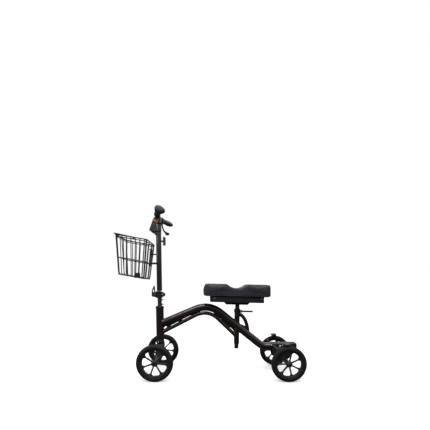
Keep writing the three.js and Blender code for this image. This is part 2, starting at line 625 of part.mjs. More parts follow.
// ---------- basket ----------
/** The basket's outer shape, shrunk by an inset on every side and raised at its top. */
function basketHull(inset, raise) {
  const { rearCorner, frontCorner } = BASKET;
  const levels = [
    { rear: BASKET.bottomRear, front: BASKET.bottomFront, half: BASKET.bottomHalf, up: inset },
    { rear: BASKET.topRear, front: BASKET.topFront, half: BASKET.topHalf, up: raise },
  ];
  const points = levels.flatMap(({ rear: [rearX, rearZ], front: [frontX, frontZ], half, up }) => {
    const wide = half - inset;
    return [1, -1].flatMap((side) => [
      [rearX + inset, side * (wide - rearCorner), rearZ + up],
      [rearX + inset + rearCorner, side * wide, rearZ + up],
      [frontX - inset - frontCorner, side * wide, frontZ + up - 3],
      [frontX - inset, side * (wide - frontCorner), frontZ + up],
    ]);
  });
  return hull(points);
}

/** The height of the basket's rim at an x. */
function rimHeight(x) {
  const { topRear: [rearX, rearZ], topFront: [frontX, frontZ] } = BASKET;
  return rearZ + ((frontZ - rearZ) * (x - rearX)) / (frontX - rearX);
}

const carryPivotZ = rimHeight(CARRY.pivotX) - 6;

function basket() {
  const { pivotX, half, pinR } = CARRY;
  const { upperZ } = BRACKET;
  const hook = join(
    box([36, -26, upperZ + 24.5], [52, 26, upperZ + 30]),
    box([36, -26, upperZ + 13], [40, 26, upperZ + 30]),
  );
  const pinHole = rodY(pinR + RUNNING, -half, half, 12, true).translate(pivotX, 0, carryPivotZ);
  return cut(join(basketHull(0, 0), hook), basketHull(BASKET.wall, 60), pinHole);
}

/** The carrying handle, folded forward: an arm outside each side of the rim and a bar before it. */
function carryHandle() {
  const { pivotX, front, half, wireR, bend, eyeR, pinR } = CARRY;
  const armZ = carryPivotZ + eyeR - 1;
  const frontZ = rimHeight(front) + wireR + 1.5;
  const route = bentPath([
    [pivotX - 3, half, armZ], [front, half, frontZ, bend],
    [front, -half, frontZ, bend], [pivotX - 3, -half, armZ],
  ]);
  const ends = [1, -1].flatMap((side) => {
    const pin = [side * (half - 9), side * half].sort((a, b) => a - b);
    return [rodY(pinR, ...pin, 12), rodY(eyeR, side * half - wireR + 1, side * half + wireR - 1, 16)];
  });
  const hinges = ends.map((end) => end.translate(pivotX, 0, carryPivotZ));
  return piece("basket_handle", join(along(route, wireR, 0, 40, 10), ...hinges), "wire");
}

// ---------- knee rest ----------
/** The cushion's side outline, with rounded corners and a dip for the knee. */
function cushionOutline() {
  const { front, rear, bottom, top, round } = CUSHION;
  const middle = (SADDLE.front + SADDLE.rear) / 2;
  const low = top - SADDLE.depth;
  const slope = 6; // how far the front face leans in from bottom to top
  const outline = new THREE.Shape();
  outline.moveTo(rear + round, bottom);
  outline.lineTo(front - round, bottom);
  outline.quadraticCurveTo(front, bottom, front, bottom + round);
  outline.lineTo(front - slope + 1, top - round);
  outline.quadraticCurveTo(front - slope, top, front - slope - round, top);
  outline.lineTo(SADDLE.front, top);
  outline.bezierCurveTo(SADDLE.front - 18, top - 6, middle + 38, low, middle, low);
  outline.bezierCurveTo(middle - 38, low, SADDLE.rear + 18, top - 6, SADDLE.rear, top);
  outline.lineTo(rear + 2 + round, top);
  outline.quadraticCurveTo(rear + 2, top, rear + 2, top - round);
  outline.lineTo(rear, bottom + round);
  outline.quadraticCurveTo(rear, bottom, rear + round, bottom);
  return outline;
}

/** The moulded tray under the cushion, open below. */
function kneeTray() {
  const { front, rear, bottom, halfWidth, wall } = TRAY;
  const top = CUSHION.bottom - GAP;
  return cut(
    box([rear, -halfWidth, bottom], [front, halfWidth, top]),
    box([rear + wall, -halfWidth + wall, bottom - PAST], [front - wall, halfWidth - wall, top - wall - 1]),
  );
}

/** The bracket between the tray and the post: two side plates, a foot and a deck. */
function kneeBracket() {
  const { front, rear, footFront, footRear, halfWidth, sheet } = KNEE_BRACKET;
  const top = CUSHION.bottom - 2 * GAP - TRAY.wall - 1;
  const foot = POST.top + 1;
  const outline = [
    [front, top], [front, TRAY.bottom], [footFront, foot + 1],
    [footRear, foot + 1], [rear, TRAY.bottom], [rear, top],
  ];
  return join(
    slab(outline, -halfWidth, -halfWidth + sheet),
    slab(outline, halfWidth - sheet, halfWidth),
    box([footRear, -halfWidth, foot], [footFront, halfWidth, foot + sheet]),
    box([rear, -halfWidth, top - sheet], [front, halfWidth, top]),
  );
}

function kneeRest() {
  return [
    piece("cushion", slab(cushionOutline(), -CUSHION.halfWidth, CUSHION.halfWidth), "vinyl"),
    piece("knee_tray", kneeTray(), "plastic"),
    piece("knee_bracket", kneeBracket(), "plastic"),
    piece("knee_post", pipe(POST.radius, POST.radius - WALL, POST.bottom, POST.top), "black"),
  ];
}

/** The seat tube and its clamp collar, whose two rear ears carry the clamp handle. */
function seatTube() {
  const { radius, bottom, top } = SEAT_TUBE;
  const tube = pipe(radius, POST.radius + RUNNING, bottom, top);
  const { pinX, low, high, pinR } = CLAMP;
  const ears = box([pinX - 6, -7, low], [-radius, 7, high]);
  const slot = box([pinX - 10, -12, low + 4], [pinX + 7, 12, high - 4]);
  const pinHole = rod(pinR + RUNNING, low - PAST, high + PAST, 12, true).translate(pinX, 0, 0);
  const bore = rod(radius + GAP, low - 20, high + 20, 24, true);
  const collar = cut(join(rod(radius + 3, low, high + 7, 24), ears), bore, slot, pinHole);
  return [piece("seat_tube", tube, "burgundy"), piece("seat_collar", collar, "black")];
}

function clampHandle() {
  const { pinX, low, high, pinR, bar, reach } = CLAMP;
  const middle = (low + high) / 2;
  const eye = rod(6, low + 4 + GAP, high - 4 - GAP, 16).translate(pinX, 0, 0);
  const pin = rod(pinR, low - 1, high + 1, 12).translate(pinX, 0, 0);
  const neck = box([pinX - 14, -4, low + 4 + GAP], [pinX, 4, high - 4 - GAP]);
  const handle = rodX(bar, reach, pinX - 10, 14).translate(0, 0, middle);
  return piece("clamp_handle", join(eye, pin, neck, handle), "black");
}

// ---------- assembly ----------
function leaning({ x, lean }, ...pieces) {
  const group = new THREE.Group();
  group.add(...pieces);
  group.position.x = x;
  group.rotation.y = degrees(lean);
  return group;
}

const scooter = new THREE.Group();
scooter.name = "knee_scooter";
scooter.add(...frameTubes(), ...webs(), gusset(), ...tail(), ...brakeArms());
scooter.add(...wheels("front", FRONT_WHEEL), ...wheels("rear", REAR_WHEEL));
scooter.add(axle("front", FRONT_WHEEL), axle("rear", REAR_WHEEL));
const foldPin = rodY(FOLD.pinR, -FOLD.halfWidth - 1, FOLD.halfWidth + 1, 12)
  .translate(FOLD.pinX, 0, FOLD.pinZ);
scooter.add(leaning(STEERING,
  ...headTube(),
  ...fork(),
  piece("fold_base", foldBase(), "black"),
  piece("fold_head", foldHead(), "black"),
  piece("fold_lever", foldLever(), "plastic"),
  piece("fold_pin", foldPin, "steel"),
  ...column(),
  heightKnob(),
  ...handlebar(),
  piece("basket", basket(), "wire"),
  carryHandle(),
));
scooter.add(leaning(KNEE, ...seatTube(), clampHandle(), ...kneeRest()));

// The origin is the middle of the scooter's length on the floor.
const bounds = new THREE.Box3().setFromObject(scooter, true);
scooter.position.x = -(bounds.min.x + bounds.max.x) / 2;

export default scooter;
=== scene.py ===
"""The looks of a folding knee scooter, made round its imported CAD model.

Shapes are in millimetres until they are placed.
"""
import json
import math

import bmesh
import bpy
import numpy as np
from mathutils import Matrix, Vector
from mathutils.bvhtree import BVHTree

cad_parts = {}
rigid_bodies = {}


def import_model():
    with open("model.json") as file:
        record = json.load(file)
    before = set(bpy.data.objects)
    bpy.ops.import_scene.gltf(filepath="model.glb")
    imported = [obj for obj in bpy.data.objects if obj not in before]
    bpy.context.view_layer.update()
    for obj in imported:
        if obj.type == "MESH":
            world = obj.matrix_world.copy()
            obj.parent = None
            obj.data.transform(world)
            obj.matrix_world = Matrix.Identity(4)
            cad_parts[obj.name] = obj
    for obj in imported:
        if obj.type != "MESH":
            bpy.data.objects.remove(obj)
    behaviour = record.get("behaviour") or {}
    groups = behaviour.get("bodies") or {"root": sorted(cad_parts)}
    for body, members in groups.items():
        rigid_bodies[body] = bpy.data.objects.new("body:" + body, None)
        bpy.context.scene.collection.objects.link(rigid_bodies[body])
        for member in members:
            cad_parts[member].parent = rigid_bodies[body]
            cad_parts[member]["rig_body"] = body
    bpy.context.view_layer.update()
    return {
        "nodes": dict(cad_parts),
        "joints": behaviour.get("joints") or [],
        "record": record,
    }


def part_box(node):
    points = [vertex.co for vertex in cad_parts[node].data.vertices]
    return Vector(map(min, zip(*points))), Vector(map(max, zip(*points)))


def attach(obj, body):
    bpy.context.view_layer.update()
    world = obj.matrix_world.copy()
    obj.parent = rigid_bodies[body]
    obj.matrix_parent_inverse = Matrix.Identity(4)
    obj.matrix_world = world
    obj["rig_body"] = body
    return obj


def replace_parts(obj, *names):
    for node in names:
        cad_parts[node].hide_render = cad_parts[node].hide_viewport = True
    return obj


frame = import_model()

MM = 0.001
NODES = frame["nodes"]
JOINTS = {joint["name"]: joint for joint in frame["joints"]}
SLOT_OF = {part["node"]: part["material_slot"] for part in frame["record"]["subparts"]}
SIDES = {"left": 1, "right": -1}


# ---------- places ----------
def centre(node):
    low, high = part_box(node)
    return (low + high) / 2


def leaning(up, point):
    """From millimetres about a leaning axis, with Z = 0 where it meets the floor, to the object's metres."""
    up = Vector(up).normalized()
    side = Vector((0, 1, 0))
    foot = point - up * (point.z / up.z)
    turn = Matrix((side.cross(up), side, up)).transposed().to_4x4()
    return Matrix.Translation(foot) @ turn @ Matrix.Scale(MM, 4)


# the frame's own millimetres put the rear axle here
REAR_AXLE_X = -450
ORIGIN = Vector((centre("tyre_rear_left").x - REAR_AXLE_X * MM, 0, 0))
FRAME = Matrix.Translation(ORIGIN) @ Matrix.Scale(MM, 4)
STEER = leaning(JOINTS["steering"]["axis"], centre("head_tube"))
KNEE = leaning([-part for part in JOINTS["knee_slide"]["axis"]], centre("seat_tube"))


# ---------- camera ----------
CAMERA_AWAY, CAMERA_HEIGHT = 2.0, 0.525


def make_camera():
    """Level with the pad, at the scooter's left side."""
    data = bpy.data.cameras.new("camera")
    data.sensor_width = 36
    data.lens = 28.3
    data.shift_x = 0.0233
    data.shift_y = 0.16
    camera = bpy.data.objects.new("camera", data)
    camera.location = (ORIGIN.x, CAMERA_AWAY, CAMERA_HEIGHT)
    camera.rotation_euler = (math.pi / 2, 0, math.pi)
    bpy.context.scene.collection.objects.link(camera)
    bpy.context.scene.camera = camera


make_camera()


# ---------- materials ----------
class Nodes:
    """A material's node tree, filled by short calls."""

    def __init__(self, name):
        self.material = bpy.data.materials.new(name)
        self.material.use_nodes = True
        self.tree = self.material.node_tree
        self.shader = self.tree.nodes["Principled BSDF"]
        self.place = self.add("ShaderNodeTexCoord").outputs["Object"]

    def add(self, kind, **values):
        node = self.tree.nodes.new(kind)
        for key, value in values.items():
            setattr(node, key, value)
        return node

    def link(self, start, end):
        self.tree.links.new(start, end)

    def stretched(self, factors):
        mapping = self.add("ShaderNodeMapping")
        mapping.inputs["Scale"].default_value = factors
        self.link(self.place, mapping.inputs["Vector"])
        return mapping.outputs["Vector"]

    def noise(self, scale, detail=3, place=None):
        node = self.add("ShaderNodeTexNoise")
        node.inputs["Scale"].default_value = scale
        node.inputs["Detail"].default_value = detail
        self.link(place or self.place, node.inputs["Vector"])
        return node.outputs["Fac"]

    def cells(self, scale, feature="F1"):
        node = self.add("ShaderNodeTexVoronoi", feature=feature)
        node.inputs["Scale"].default_value = scale
        self.link(self.place, node.inputs["Vector"])
        return node.outputs["Distance"]

    def between(self, value, low, high, out_low=0.0, out_high=1.0):
        node = self.add("ShaderNodeMapRange")
        inputs = ("From Min", "From Max", "To Min", "To Max")
        for key, number in zip(inputs, (low, high, out_low, out_high)):
            node.inputs[key].default_value = number
        self.link(value, node.inputs["Value"])
        return node.outputs["Result"]

    def maths(self, operation, a, b):
        node = self.add("ShaderNodeMath", operation=operation)
        for slot, value in zip(node.inputs, (a, b)):
            if isinstance(value, (int, float)):
                slot.default_value = value
            else:
                self.link(value, slot)
        return node.outputs["Value"]

    def mixed(self, share, a, b):
        node = self.add("ShaderNodeMix", data_type="RGBA")
        self.link(share, node.inputs["Factor"])
        colours = [socket for socket in node.inputs if socket.type == "RGBA"]
        for slot, value in zip(colours, (a, b)):
            if isinstance(value, tuple):
                slot.default_value = (*value, 1)
            else:
                self.link(value, slot)
        return [socket for socket in node.outputs if socket.type == "RGBA"][0]

    def bump(self, height, distance, strength=1.0):
        node = self.add("ShaderNodeBump")
        node.inputs["Distance"].default_value = distance * MM
        node.inputs["Strength"].default_value = strength
        self.link(height, node.inputs["Height"])
        self.link(node.outputs["Normal"], self.shader.inputs["Normal"])

    def set(self, **values):
        for key, value in values.items():
            self.shader.inputs[key.replace("_", " ")].default_value = value


def look(name, colour, other, roughness, spread, bump, wear=None, **sockets):
    """A finish: its colour drifts to the other one in patches, its gloss varies, and its edges wear."""
    nodes = Nodes(name)
    nodes.set(**sockets)
    patches = nodes.between(nodes.noise(14, 5), 0.38, 0.62)
    surface = nodes.mixed(patches, colour, other)
    if wear:
        edge = nodes.between(nodes.add("ShaderNodeNewGeometry").outputs["Pointiness"], 0.53, 0.62)
        broken = nodes.between(nodes.noise(160, 4), 0.45, 0.6)
        surface = nodes.mixed(nodes.maths("MULTIPLY", edge, broken), surface, wear)
    nodes.link(surface, nodes.shader.inputs["Base Color"])
    gloss = nodes.between(nodes.noise(45, 6), 0.3, 0.7, roughness - spread, roughness + spread)
    nodes.link(gloss, nodes.shader.inputs["Roughness"])
    bump(nodes)
    return nodes.material


def orange_peel(nodes):
    nodes.bump(nodes.noise(420, 2), 0.06)


def moulded_grain(nodes):
    nodes.bump(nodes.noise(1500, 3), 0.12)


def rubber_skin(nodes):
    nodes.bump(nodes.noise(900, 5), 0.16)


def brushed(nodes):
    nodes.bump(nodes.noise(700, 2, nodes.stretched((1, 0.08, 1))), 0.05)


def leather_grain(nodes):
    pebbles = nodes.cells(520, "SMOOTH_F1")
    creases = nodes.noise(75, 4)
    nodes.bump(nodes.maths("ADD", nodes.maths("MULTIPLY", pebbles, 0.8), creases), 0.35)


def grip_ribs(nodes):
    nodes.bump(nodes.cells(330), 0.45)


LOOKS = {
    "frame_paint": look(
        "gloss_burgundy", (0.0100, 0.0042, 0.0048), (0.0130, 0.0056, 0.0062), 0.22, 0.05, orange_peel,
        wear=(0.04, 0.020, 0.020), Specular_IOR_Level=0.3, Coat_Weight=0.45, Coat_Roughness=0.07,
    ),
    "black_paint": look(
        "satin_black", (0.0080, 0.0080, 0.0085), (0.0115, 0.0115, 0.0120), 0.36, 0.07, orange_peel,
        wear=(0.05, 0.05, 0.05), Specular_IOR_Level=0.4, Coat_Weight=0.25, Coat_Roughness=0.2,
    ),
    "column_paint": look(
        "slate_column", (0.016, 0.019, 0.026), (0.021, 0.024, 0.032), 0.28, 0.05, orange_peel,
        wear=(0.07, 0.07, 0.08), Metallic=0.25, Coat_Weight=0.35, Coat_Roughness=0.12,
    ),
    "steel": look(
        "zinc_steel", (0.62, 0.62, 0.63), (0.46, 0.46, 0.47), 0.34, 0.10, brushed, Metallic=1.0,
    ),
    "moulded_plastic": look(
        "moulded_black", (0.030, 0.030, 0.034), (0.039, 0.039, 0.043), 0.48, 0.06, moulded_grain,
        wear=(0.09, 0.09, 0.09), Specular_IOR_Level=0.35,
    ),
    "tray_plastic": look(
        "tray_black", (0.0085, 0.0085, 0.0095), (0.0120, 0.0120, 0.0135), 0.45, 0.06, moulded_grain,
        wear=(0.04, 0.04, 0.04), Specular_IOR_Level=0.25,
    ),
    "rim_plastic": look(
        "rim_black", (0.011, 0.011, 0.012), (0.016, 0.016, 0.017), 0.42, 0.06, moulded_grain,
        wear=(0.05, 0.05, 0.05), Specular_IOR_Level=0.3,
    ),
    "tyre": look(
        "tyre_rubber", (0.0075, 0.0075, 0.0075), (0.0115, 0.0115, 0.0112), 0.7, 0.08, rubber_skin,
        wear=(0.028, 0.028, 0.027), Specular_IOR_Level=0.2,
    ),
    "grip_rubber": look(
        "grip_rubber", (0.042, 0.042, 0.046), (0.052, 0.052, 0.056), 0.6, 0.06, grip_ribs,
        wear=(0.09, 0.09, 0.09), Specular_IOR_Level=0.3,
    ),
    "orange_plastic": look(
        "orange_plastic", (0.52, 0.105, 0.050), (0.45, 0.085, 0.040), 0.4, 0.05, moulded_grain,
        wear=(0.62, 0.24, 0.14),
    ),
    "wire_coating": look(
        "wire_coating", (0.010, 0.010, 0.011), (0.015, 0.015, 0.016), 0.32, 0.06, orange_peel,
        wear=(0.05, 0.05, 0.05), Coat_Weight=0.3, Coat_Roughness=0.15,
    ),
    "upholstery": look(
        "padded_vinyl", (0.020, 0.021, 0.025), (0.026, 0.027, 0.032), 0.46, 0.06, leather_grain,
        wear=(0.06, 0.06, 0.064), Specular_IOR_Level=0.35,
    ),
}


# ---------- outlines and paths ----------
def fillet(points, radius, closed=True, steps=5):
    """The same outline with each corner rounded; a point may give its own radius as its last number."""
    size = 2 if len(points[0]) <= 3 and not isinstance(points[0], Vector) else 3
    at = [Vector(point[:size]) for point in points]
    own = [point[size] if len(point) > size else radius for point in points]
    made = []
    for i, corner in enumerate(at):
        if not closed and i in (0, len(at) - 1):
            made.append(corner)
            continue
        before = at[i - 1] - corner
        after = at[(i + 1) % len(at)] - corner
        reach = min(own[i], before.length * 0.49, after.length * 0.49)
        start = corner + before.normalized() * reach
        end = corner + after.normalized() * reach
        for step in range(steps + 1):
            t = step / steps
            made.append(start * (1 - t) ** 2 + corner * 2 * t * (1 - t) + end * t**2)
    return made


def bent(corners):
    """Points along straight runs between (x, y, z, bend) corners."""
    rounded = fillet([(*corner, 0)[:4] for corner in corners], 0, closed=False, steps=12)
    return [Vector(point) for point in rounded]


def spread(points, gap):
    """The same line with points no further apart than the gap."""
    made = [points[0]]
    for start, end in zip(points, points[1:]):
        count = max(1, math.ceil((end - start).length / gap))
        made += [start.lerp(end, (i + 1) / count) for i in range(count)]
    return made


def smooth_line(points, steps):
    """A curve through every point."""
    ends = [points[0] * 2 - points[1], *points, points[-1] * 2 - points[-2]]
    made = [points[0]]
    for a, b, c, d in zip(ends, ends[1:], ends[2:], ends[3:]):
        for step in range(1, steps + 1):
            t = step / steps
            made.append(
                (b * 2 + (c - a) * t + (a * 2 - b * 5 + c * 4 - d) * t**2 + (b * 3 - a - c * 3 + d) * t**3) / 2
            )
    return made


def circle(radius, sides):
    turn = [2 * math.pi * i / sides for i in range(sides)]
    return [(radius * math.cos(angle), radius * math.sin(angle)) for angle in turn]


def squircle(half_width, half_height, sides, power):
    """A rounded rectangle."""
    def arm(value):
        return math.copysign(abs(value) ** power, value)
    turn = [2 * math.pi * i / sides for i in range(sides)]
    return [(half_width * arm(math.cos(a)), half_height * arm(math.sin(a))) for a in turn]


# ---------- mesh building ----------
def mesh_of(points, faces):
    mesh = bpy.data.meshes.new("mesh")
    mesh.from_pydata([tuple(point) for point in points], [], faces)
    return mesh


def loft(rings, closed=False):
    """A skin over rings of the same count of points, capped; closed joins the last ring to the first."""
    count = len(rings[0])
    points = [point for ring in rings for point in ring]
    faces = []
    for row in range(len(rings) - (0 if closed else 1)):
        low = row * count
        high = (row + 1) % len(rings) * count
        for i in range(count):
            j = (i + 1) % count
            faces.append((low + i, low + j, high + j, high + i))
    if not closed:
        faces.append(tuple(reversed(range(count))))
        faces.append(tuple(range(len(points) - count, len(points))))
    return tidy(mesh_of(points, faces))


def tidy(mesh, merge=0.01):
    """Merges points that coincide and turns every face outwards."""
    shape = bmesh.new()
    shape.from_mesh(mesh)
    bmesh.ops.remove_doubles(shape, verts=shape.verts, dist=merge)
    bmesh.ops.recalc_face_normals(shape, faces=shape.faces)
    shape.to_mesh(mesh)
    shape.free()
    return mesh


def lathe(profile, steps=72, loop=False):
    """A solid turned about Z from (radius, height) points; loop closes the profile on itself."""
    turn = [2 * math.pi * i / steps for i in range(steps)]
    rings = [[(r * math.cos(a), r * math.sin(a), h) for r, h in profile] for a in turn]
    if loop:
        return loft(rings, closed=True)
    count = len(profile)
    faces = []
    for row in range(steps):
        low, high = row * count, (row + 1) % steps * count
        faces += [(low + i, low + i + 1, high + i + 1, high + i) for i in range(count - 1)]
    return tidy(mesh_of([point for ring in rings for point in ring], faces))


def sweep(path, section, closed=False, up=(0, 1, 0)):
    """A section carried along a path: a list of (u, v) points, or a function of the path's share."""
    path = [Vector(point) for point in path]
    lengths = np.cumsum([0] + [(b - a).length for a, b in zip(path, path[1:])])
    shape = section if callable(section) else (lambda share: section)
    normal = Vector(up)
    rings = []
    for i, point in enumerate(path):
        ahead = path[(i + 1) % len(path)] if closed or i + 1 < len(path) else point
        behind = path[i - 1] if closed or i > 0 else point
        along = (ahead - behind).normalized()
        normal = (normal - along * normal.dot(along)).normalized()
        across = along.cross(normal)
        outline = shape(lengths[i] / lengths[-1])
        rings.append([point + across * u + normal * v for u, v in outline])
    return loft(rings, closed=closed)


def wire(path, radius, closed=False, up=(0, 1, 0), sides=10):
    return sweep(path, circle(radius, sides), closed, up)


def ring_on_z(corners, edge, sides=72, steps=2):
    """A ring turned about Z from a closed outline with its corners rounded."""
    return lathe([tuple(point) for point in fillet(corners, edge, steps=steps)], sides, loop=True)


def tube_on_z(outer, inner, low, high, edge=0.8):
    """A tube along Z with its four rims rounded."""
    return ring_on_z([(outer, low), (outer, high), (inner, high), (inner, low)], edge, steps=3)


def rod_on_z(radius, low, high, edge=0.8, steps=48):
    corners = [(0, low), (radius, low), (radius, high), (0, high)]
    return lathe([tuple(point) for point in fillet(corners, edge, closed=False, steps=3)], steps)


def bevelled(mesh, width, segments=3):
    """Rounds every edge sharper than a limit."""
    shape = bmesh.new()
    shape.from_mesh(mesh)
    bmesh.ops.remove_doubles(shape, verts=shape.verts, dist=width * 0.01)
    limit = math.radians(28)
    bmesh.ops.dissolve_limit(
        shape, angle_limit=math.radians(1), verts=shape.verts, edges=shape.edges, delimit=set()
    )
    sharp = [e for e in shape.edges if len(e.link_faces) == 2 and e.calc_face_angle(0) > limit]
    bmesh.ops.bevel(
        shape, geom=sharp, offset=width, segments=segments, profile=0.5, affect="EDGES", clamp_overlap=True
    )
    bmesh.ops.recalc_face_normals(shape, faces=shape.faces)
    shape.to_mesh(mesh)
    shape.free()
    return mesh


def plate(outline, low, high, edge, segments=3):
    """A side outline of (x, z) points with thickness from y = low to y = high."""
    count = len(outline)
    points = [(x, y, z) for y in (low, high) for x, z in outline]
    sides = [(i, (i + 1) % count, (i + 1) % count + count, i + count) for i in range(count)]
    faces = [tuple(range(count)), tuple(reversed(range(count, 2 * count))), *sides]
    return bevelled(tidy(mesh_of(points, faces), 0.001), edge, segments)


def block(low, high, edge):
    outline = [(low[0], low[2]), (high[0], low[2]), (high[0], high[2]), (low[0], high[2])]
    return plate(outline, low[1], high[1], edge)


def turned(mesh, axis, degrees):
    """Turns a mesh about an axis through its origin."""
    mesh.transform(Matrix.Rotation(math.radians(degrees), 4, axis))
    return mesh


def on_y(mesh):
    """Lays a mesh that was made along Z along Y."""
    return turned(mesh, "X", 90)


def facing(mesh, direction, offset):
    """Turns a mesh's Z to a direction and then shifts it."""
    turn = Vector((0, 0, 1)).rotation_difference(Vector(direction)).to_matrix().to_4x4()
    mesh.transform(Matrix.Translation(offset) @ turn)
    return mesh


def together(*meshes):
    """One mesh that holds them all."""
    shape = bmesh.new()
    for mesh in meshes:
        shape.from_mesh(mesh)
    joined = bpy.data.meshes.new("mesh")
    shape.to_mesh(joined)
    shape.free()
    return joined


def mirrored(mesh):
    """A copy on the other side of Y = 0."""
    copy = mesh.copy()
    copy.transform(Matrix.Scale(-1, 4, (0, 1, 0)))
    copy.flip_normals()
    return copy


def through(mesh, *modifiers):
    """The mesh after modifiers, each given as its kind and settings."""
    holder = bpy.data.objects.new("holder", mesh)
    bpy.context.scene.collection.objects.link(holder)
    for kind, settings in modifiers:
        modifier = holder.modifiers.new(kind, kind)
        for key, value in settings.items():
            setattr(modifier, key, value)
    made = bpy.data.meshes.new_from_object(holder.evaluated_get(bpy.context.evaluated_depsgraph_get()))
    bpy.data.objects.remove(holder)
    return made


# ---------- pieces ----------
def show(name, mesh, place, body, slot, sharp=38, material=None):
    """Puts a mesh in the scene as a piece that rides on a body and takes a slot's finish."""
    mesh.transform(place)
    if place.determinant() < 0:
        mesh.flip_normals()
    mesh.polygons.foreach_set("use_smooth", [True] * len(mesh.polygons))
    mesh.set_sharp_from_angle(angle=math.radians(sharp))
    mesh.materials.clear()
    mesh.materials.append(LOOKS[material or slot])
    piece = bpy.data.objects.new(name, mesh)
    bpy.context.scene.collection.objects.link(piece)
    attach(piece, body)
    return piece


def stand_in(node, mesh, place, sharp=38, material=None):
    """The finished piece shown in place of a CAD node."""
    piece = show(node + "_fine", mesh, place, NODES[node]["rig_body"], SLOT_OF[node], sharp, material)
    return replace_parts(piece, node)


def trim(name, beside, mesh, place, slot=None):
    """A detail fixed to the body that a CAD node belongs to."""
    return show(name, mesh, place, NODES[beside]["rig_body"], slot or SLOT_OF[beside])


def both_sides(name, beside, mesh, place, slot=None):
    other = mirrored(mesh)
    trim(name + "_left", beside, mesh, place, slot)
    trim(name + "_right", beside, other, place, slot)


def own_shape(node):
    """A copy of the CAD node's mesh, in millimetres."""
    mesh = NODES[node].data.copy()
    mesh.transform(Matrix.Scale(1 / MM, 4))
    return mesh


def softened(node, edge, segments=3, material=None):
    """The CAD node's own shape with its edges rounded."""
    mesh = bevelled(own_shape(node), edge, segments)
    return stand_in(node, mesh, Matrix.Scale(MM, 4), material=material)


def remeshed(node, voxel, rounds=2):
    """The CAD node's own shape as a fine even mesh, relaxed so that its edges look moulded."""
    grid = ("REMESH", {"mode": "VOXEL", "voxel_size": voxel})
    relax = ("SMOOTH", {"factor": 0.5, "iterations": rounds})
    mesh = through(tidy(own_shape(node), 0.001), grid, relax)
    return stand_in(node, mesh, Matrix.Scale(MM, 4), sharp=60)


def screw_head(radius, height):
    """A button-head screw along Z with a round socket."""
    socket = 0.55
    dome = [(radius, 0), (radius, height * 0.35), (radius * 0.86, height * 0.75), (radius * socket, height)]
    return lathe([*dome, (radius * socket * 0.9, height * 0.3), (0, height * 0.3)], 36)


def hex_head(radius, height):
    """A hexagon head with chamfered corners on a washer, along Z."""
    turn = [math.pi / 3 * i for i in range(6)]
    head = loft([
        [(radius * share * math.cos(a), radius * share * math.sin(a), z) for a in turn]
        for share, z in ((1, 0), (1, height * 0.8), (0.88, height))
    ])
    washer = rod_on_z(radius * 1.35, -1.2, 0, 0.3, 40)
    return together(head, washer)


# ---------- wheels ----------
# bead and window are shares of the tyre's radius
WHEEL = {
    "spokes": 7, "half_width": 16, "crown": 17, "bead": 0.78, "window": 0.68,
    "hub": 16, "hub_half": 17.6, "spoke_half": 4.2, "axle": 6,
}
# the angle of one spoke of each wheel, in degrees
FIRST_SPOKE = {"front": 32.3, "rear": 0.4}


def mirror_image(edge):
    """The rest of an outline of (radius, height) points that is the same on both sides."""
    return [(r, -y) for r, y in reversed(edge)]


def tyre_mesh(radius):
    """A solid tyre: rounded crown, three grooves round it, and short cuts across each shoulder."""
    steps, arc_steps = 288, 60
    groove_depth, groove_half, groove_at = 1.3, 0.9, 6.5
    cut_depth, cut_from, cut_to = 1.1, 9, 14.2
    half, depth = WHEEL["half_width"], WHEEL["crown"]
    widest = radius - depth
    bead = radius * WHEEL["bead"]
    arc = []
    for i in range(arc_steps + 1):
        t = math.pi * i / arc_steps
        across = math.copysign(abs(math.cos(t)) ** 0.8, math.cos(t))
        arc.append((widest + depth * math.sin(t) ** 0.85, half * across))
    lip = [(bead, 12.0), (bead + 1.5, 13.4), (bead + 3, 13.0)]
    section = [*lip, *arc, *mirror_image(lip)]
    rings = []
    for step in range(steps):
        angle = 2 * math.pi * step / steps
        notch = step % 6 < 2
        ring = []
        for r, y in section:
            in_groove = min(abs(y), abs(abs(y) - groove_at)) < groove_half and r > radius - 6
            in_cut = notch and cut_from < abs(y) < cut_to and r > radius - 9
            reach = r - max(groove_depth if in_groove else 0, cut_depth if in_cut else 0)
            ring.append((reach * math.cos(angle), y, reach * math.sin(angle)))
        rings.append(ring)
    return loft(rings, closed=True)


def spoke_mesh(start, end):
    """A slender spoke along X that spreads in a round fillet where it meets the hub and the rim."""
    at_rim, at_hub, half_depth, waist = 16.0, 7.0, 6.2, 1.2
    slow = [start + (end - at_rim - start) * i / 10 for i in range(10)]
    fast = [end - at_rim * math.cos(math.pi / 2 * i / 14) for i in range(15)]
    rings = []
    for u in [*slow, *fast, end + 2]:
        into_rim = min(max(u - (end - at_rim), 0), at_rim * 0.96)
        into_hub = min(max(start + at_hub - u, 0), at_hub * 0.9)
        flare = at_rim - math.sqrt(at_rim**2 - into_rim**2) + at_hub - math.sqrt(at_hub**2 - into_hub**2)
        deep = half_depth - waist * math.sin(math.pi * (u - start) / (end - start))
        rings.append([(u, y, z) for z, y in squircle(WHEEL["spoke_half"] + flare, deep, 20, 0.55)])
    return loft(rings)


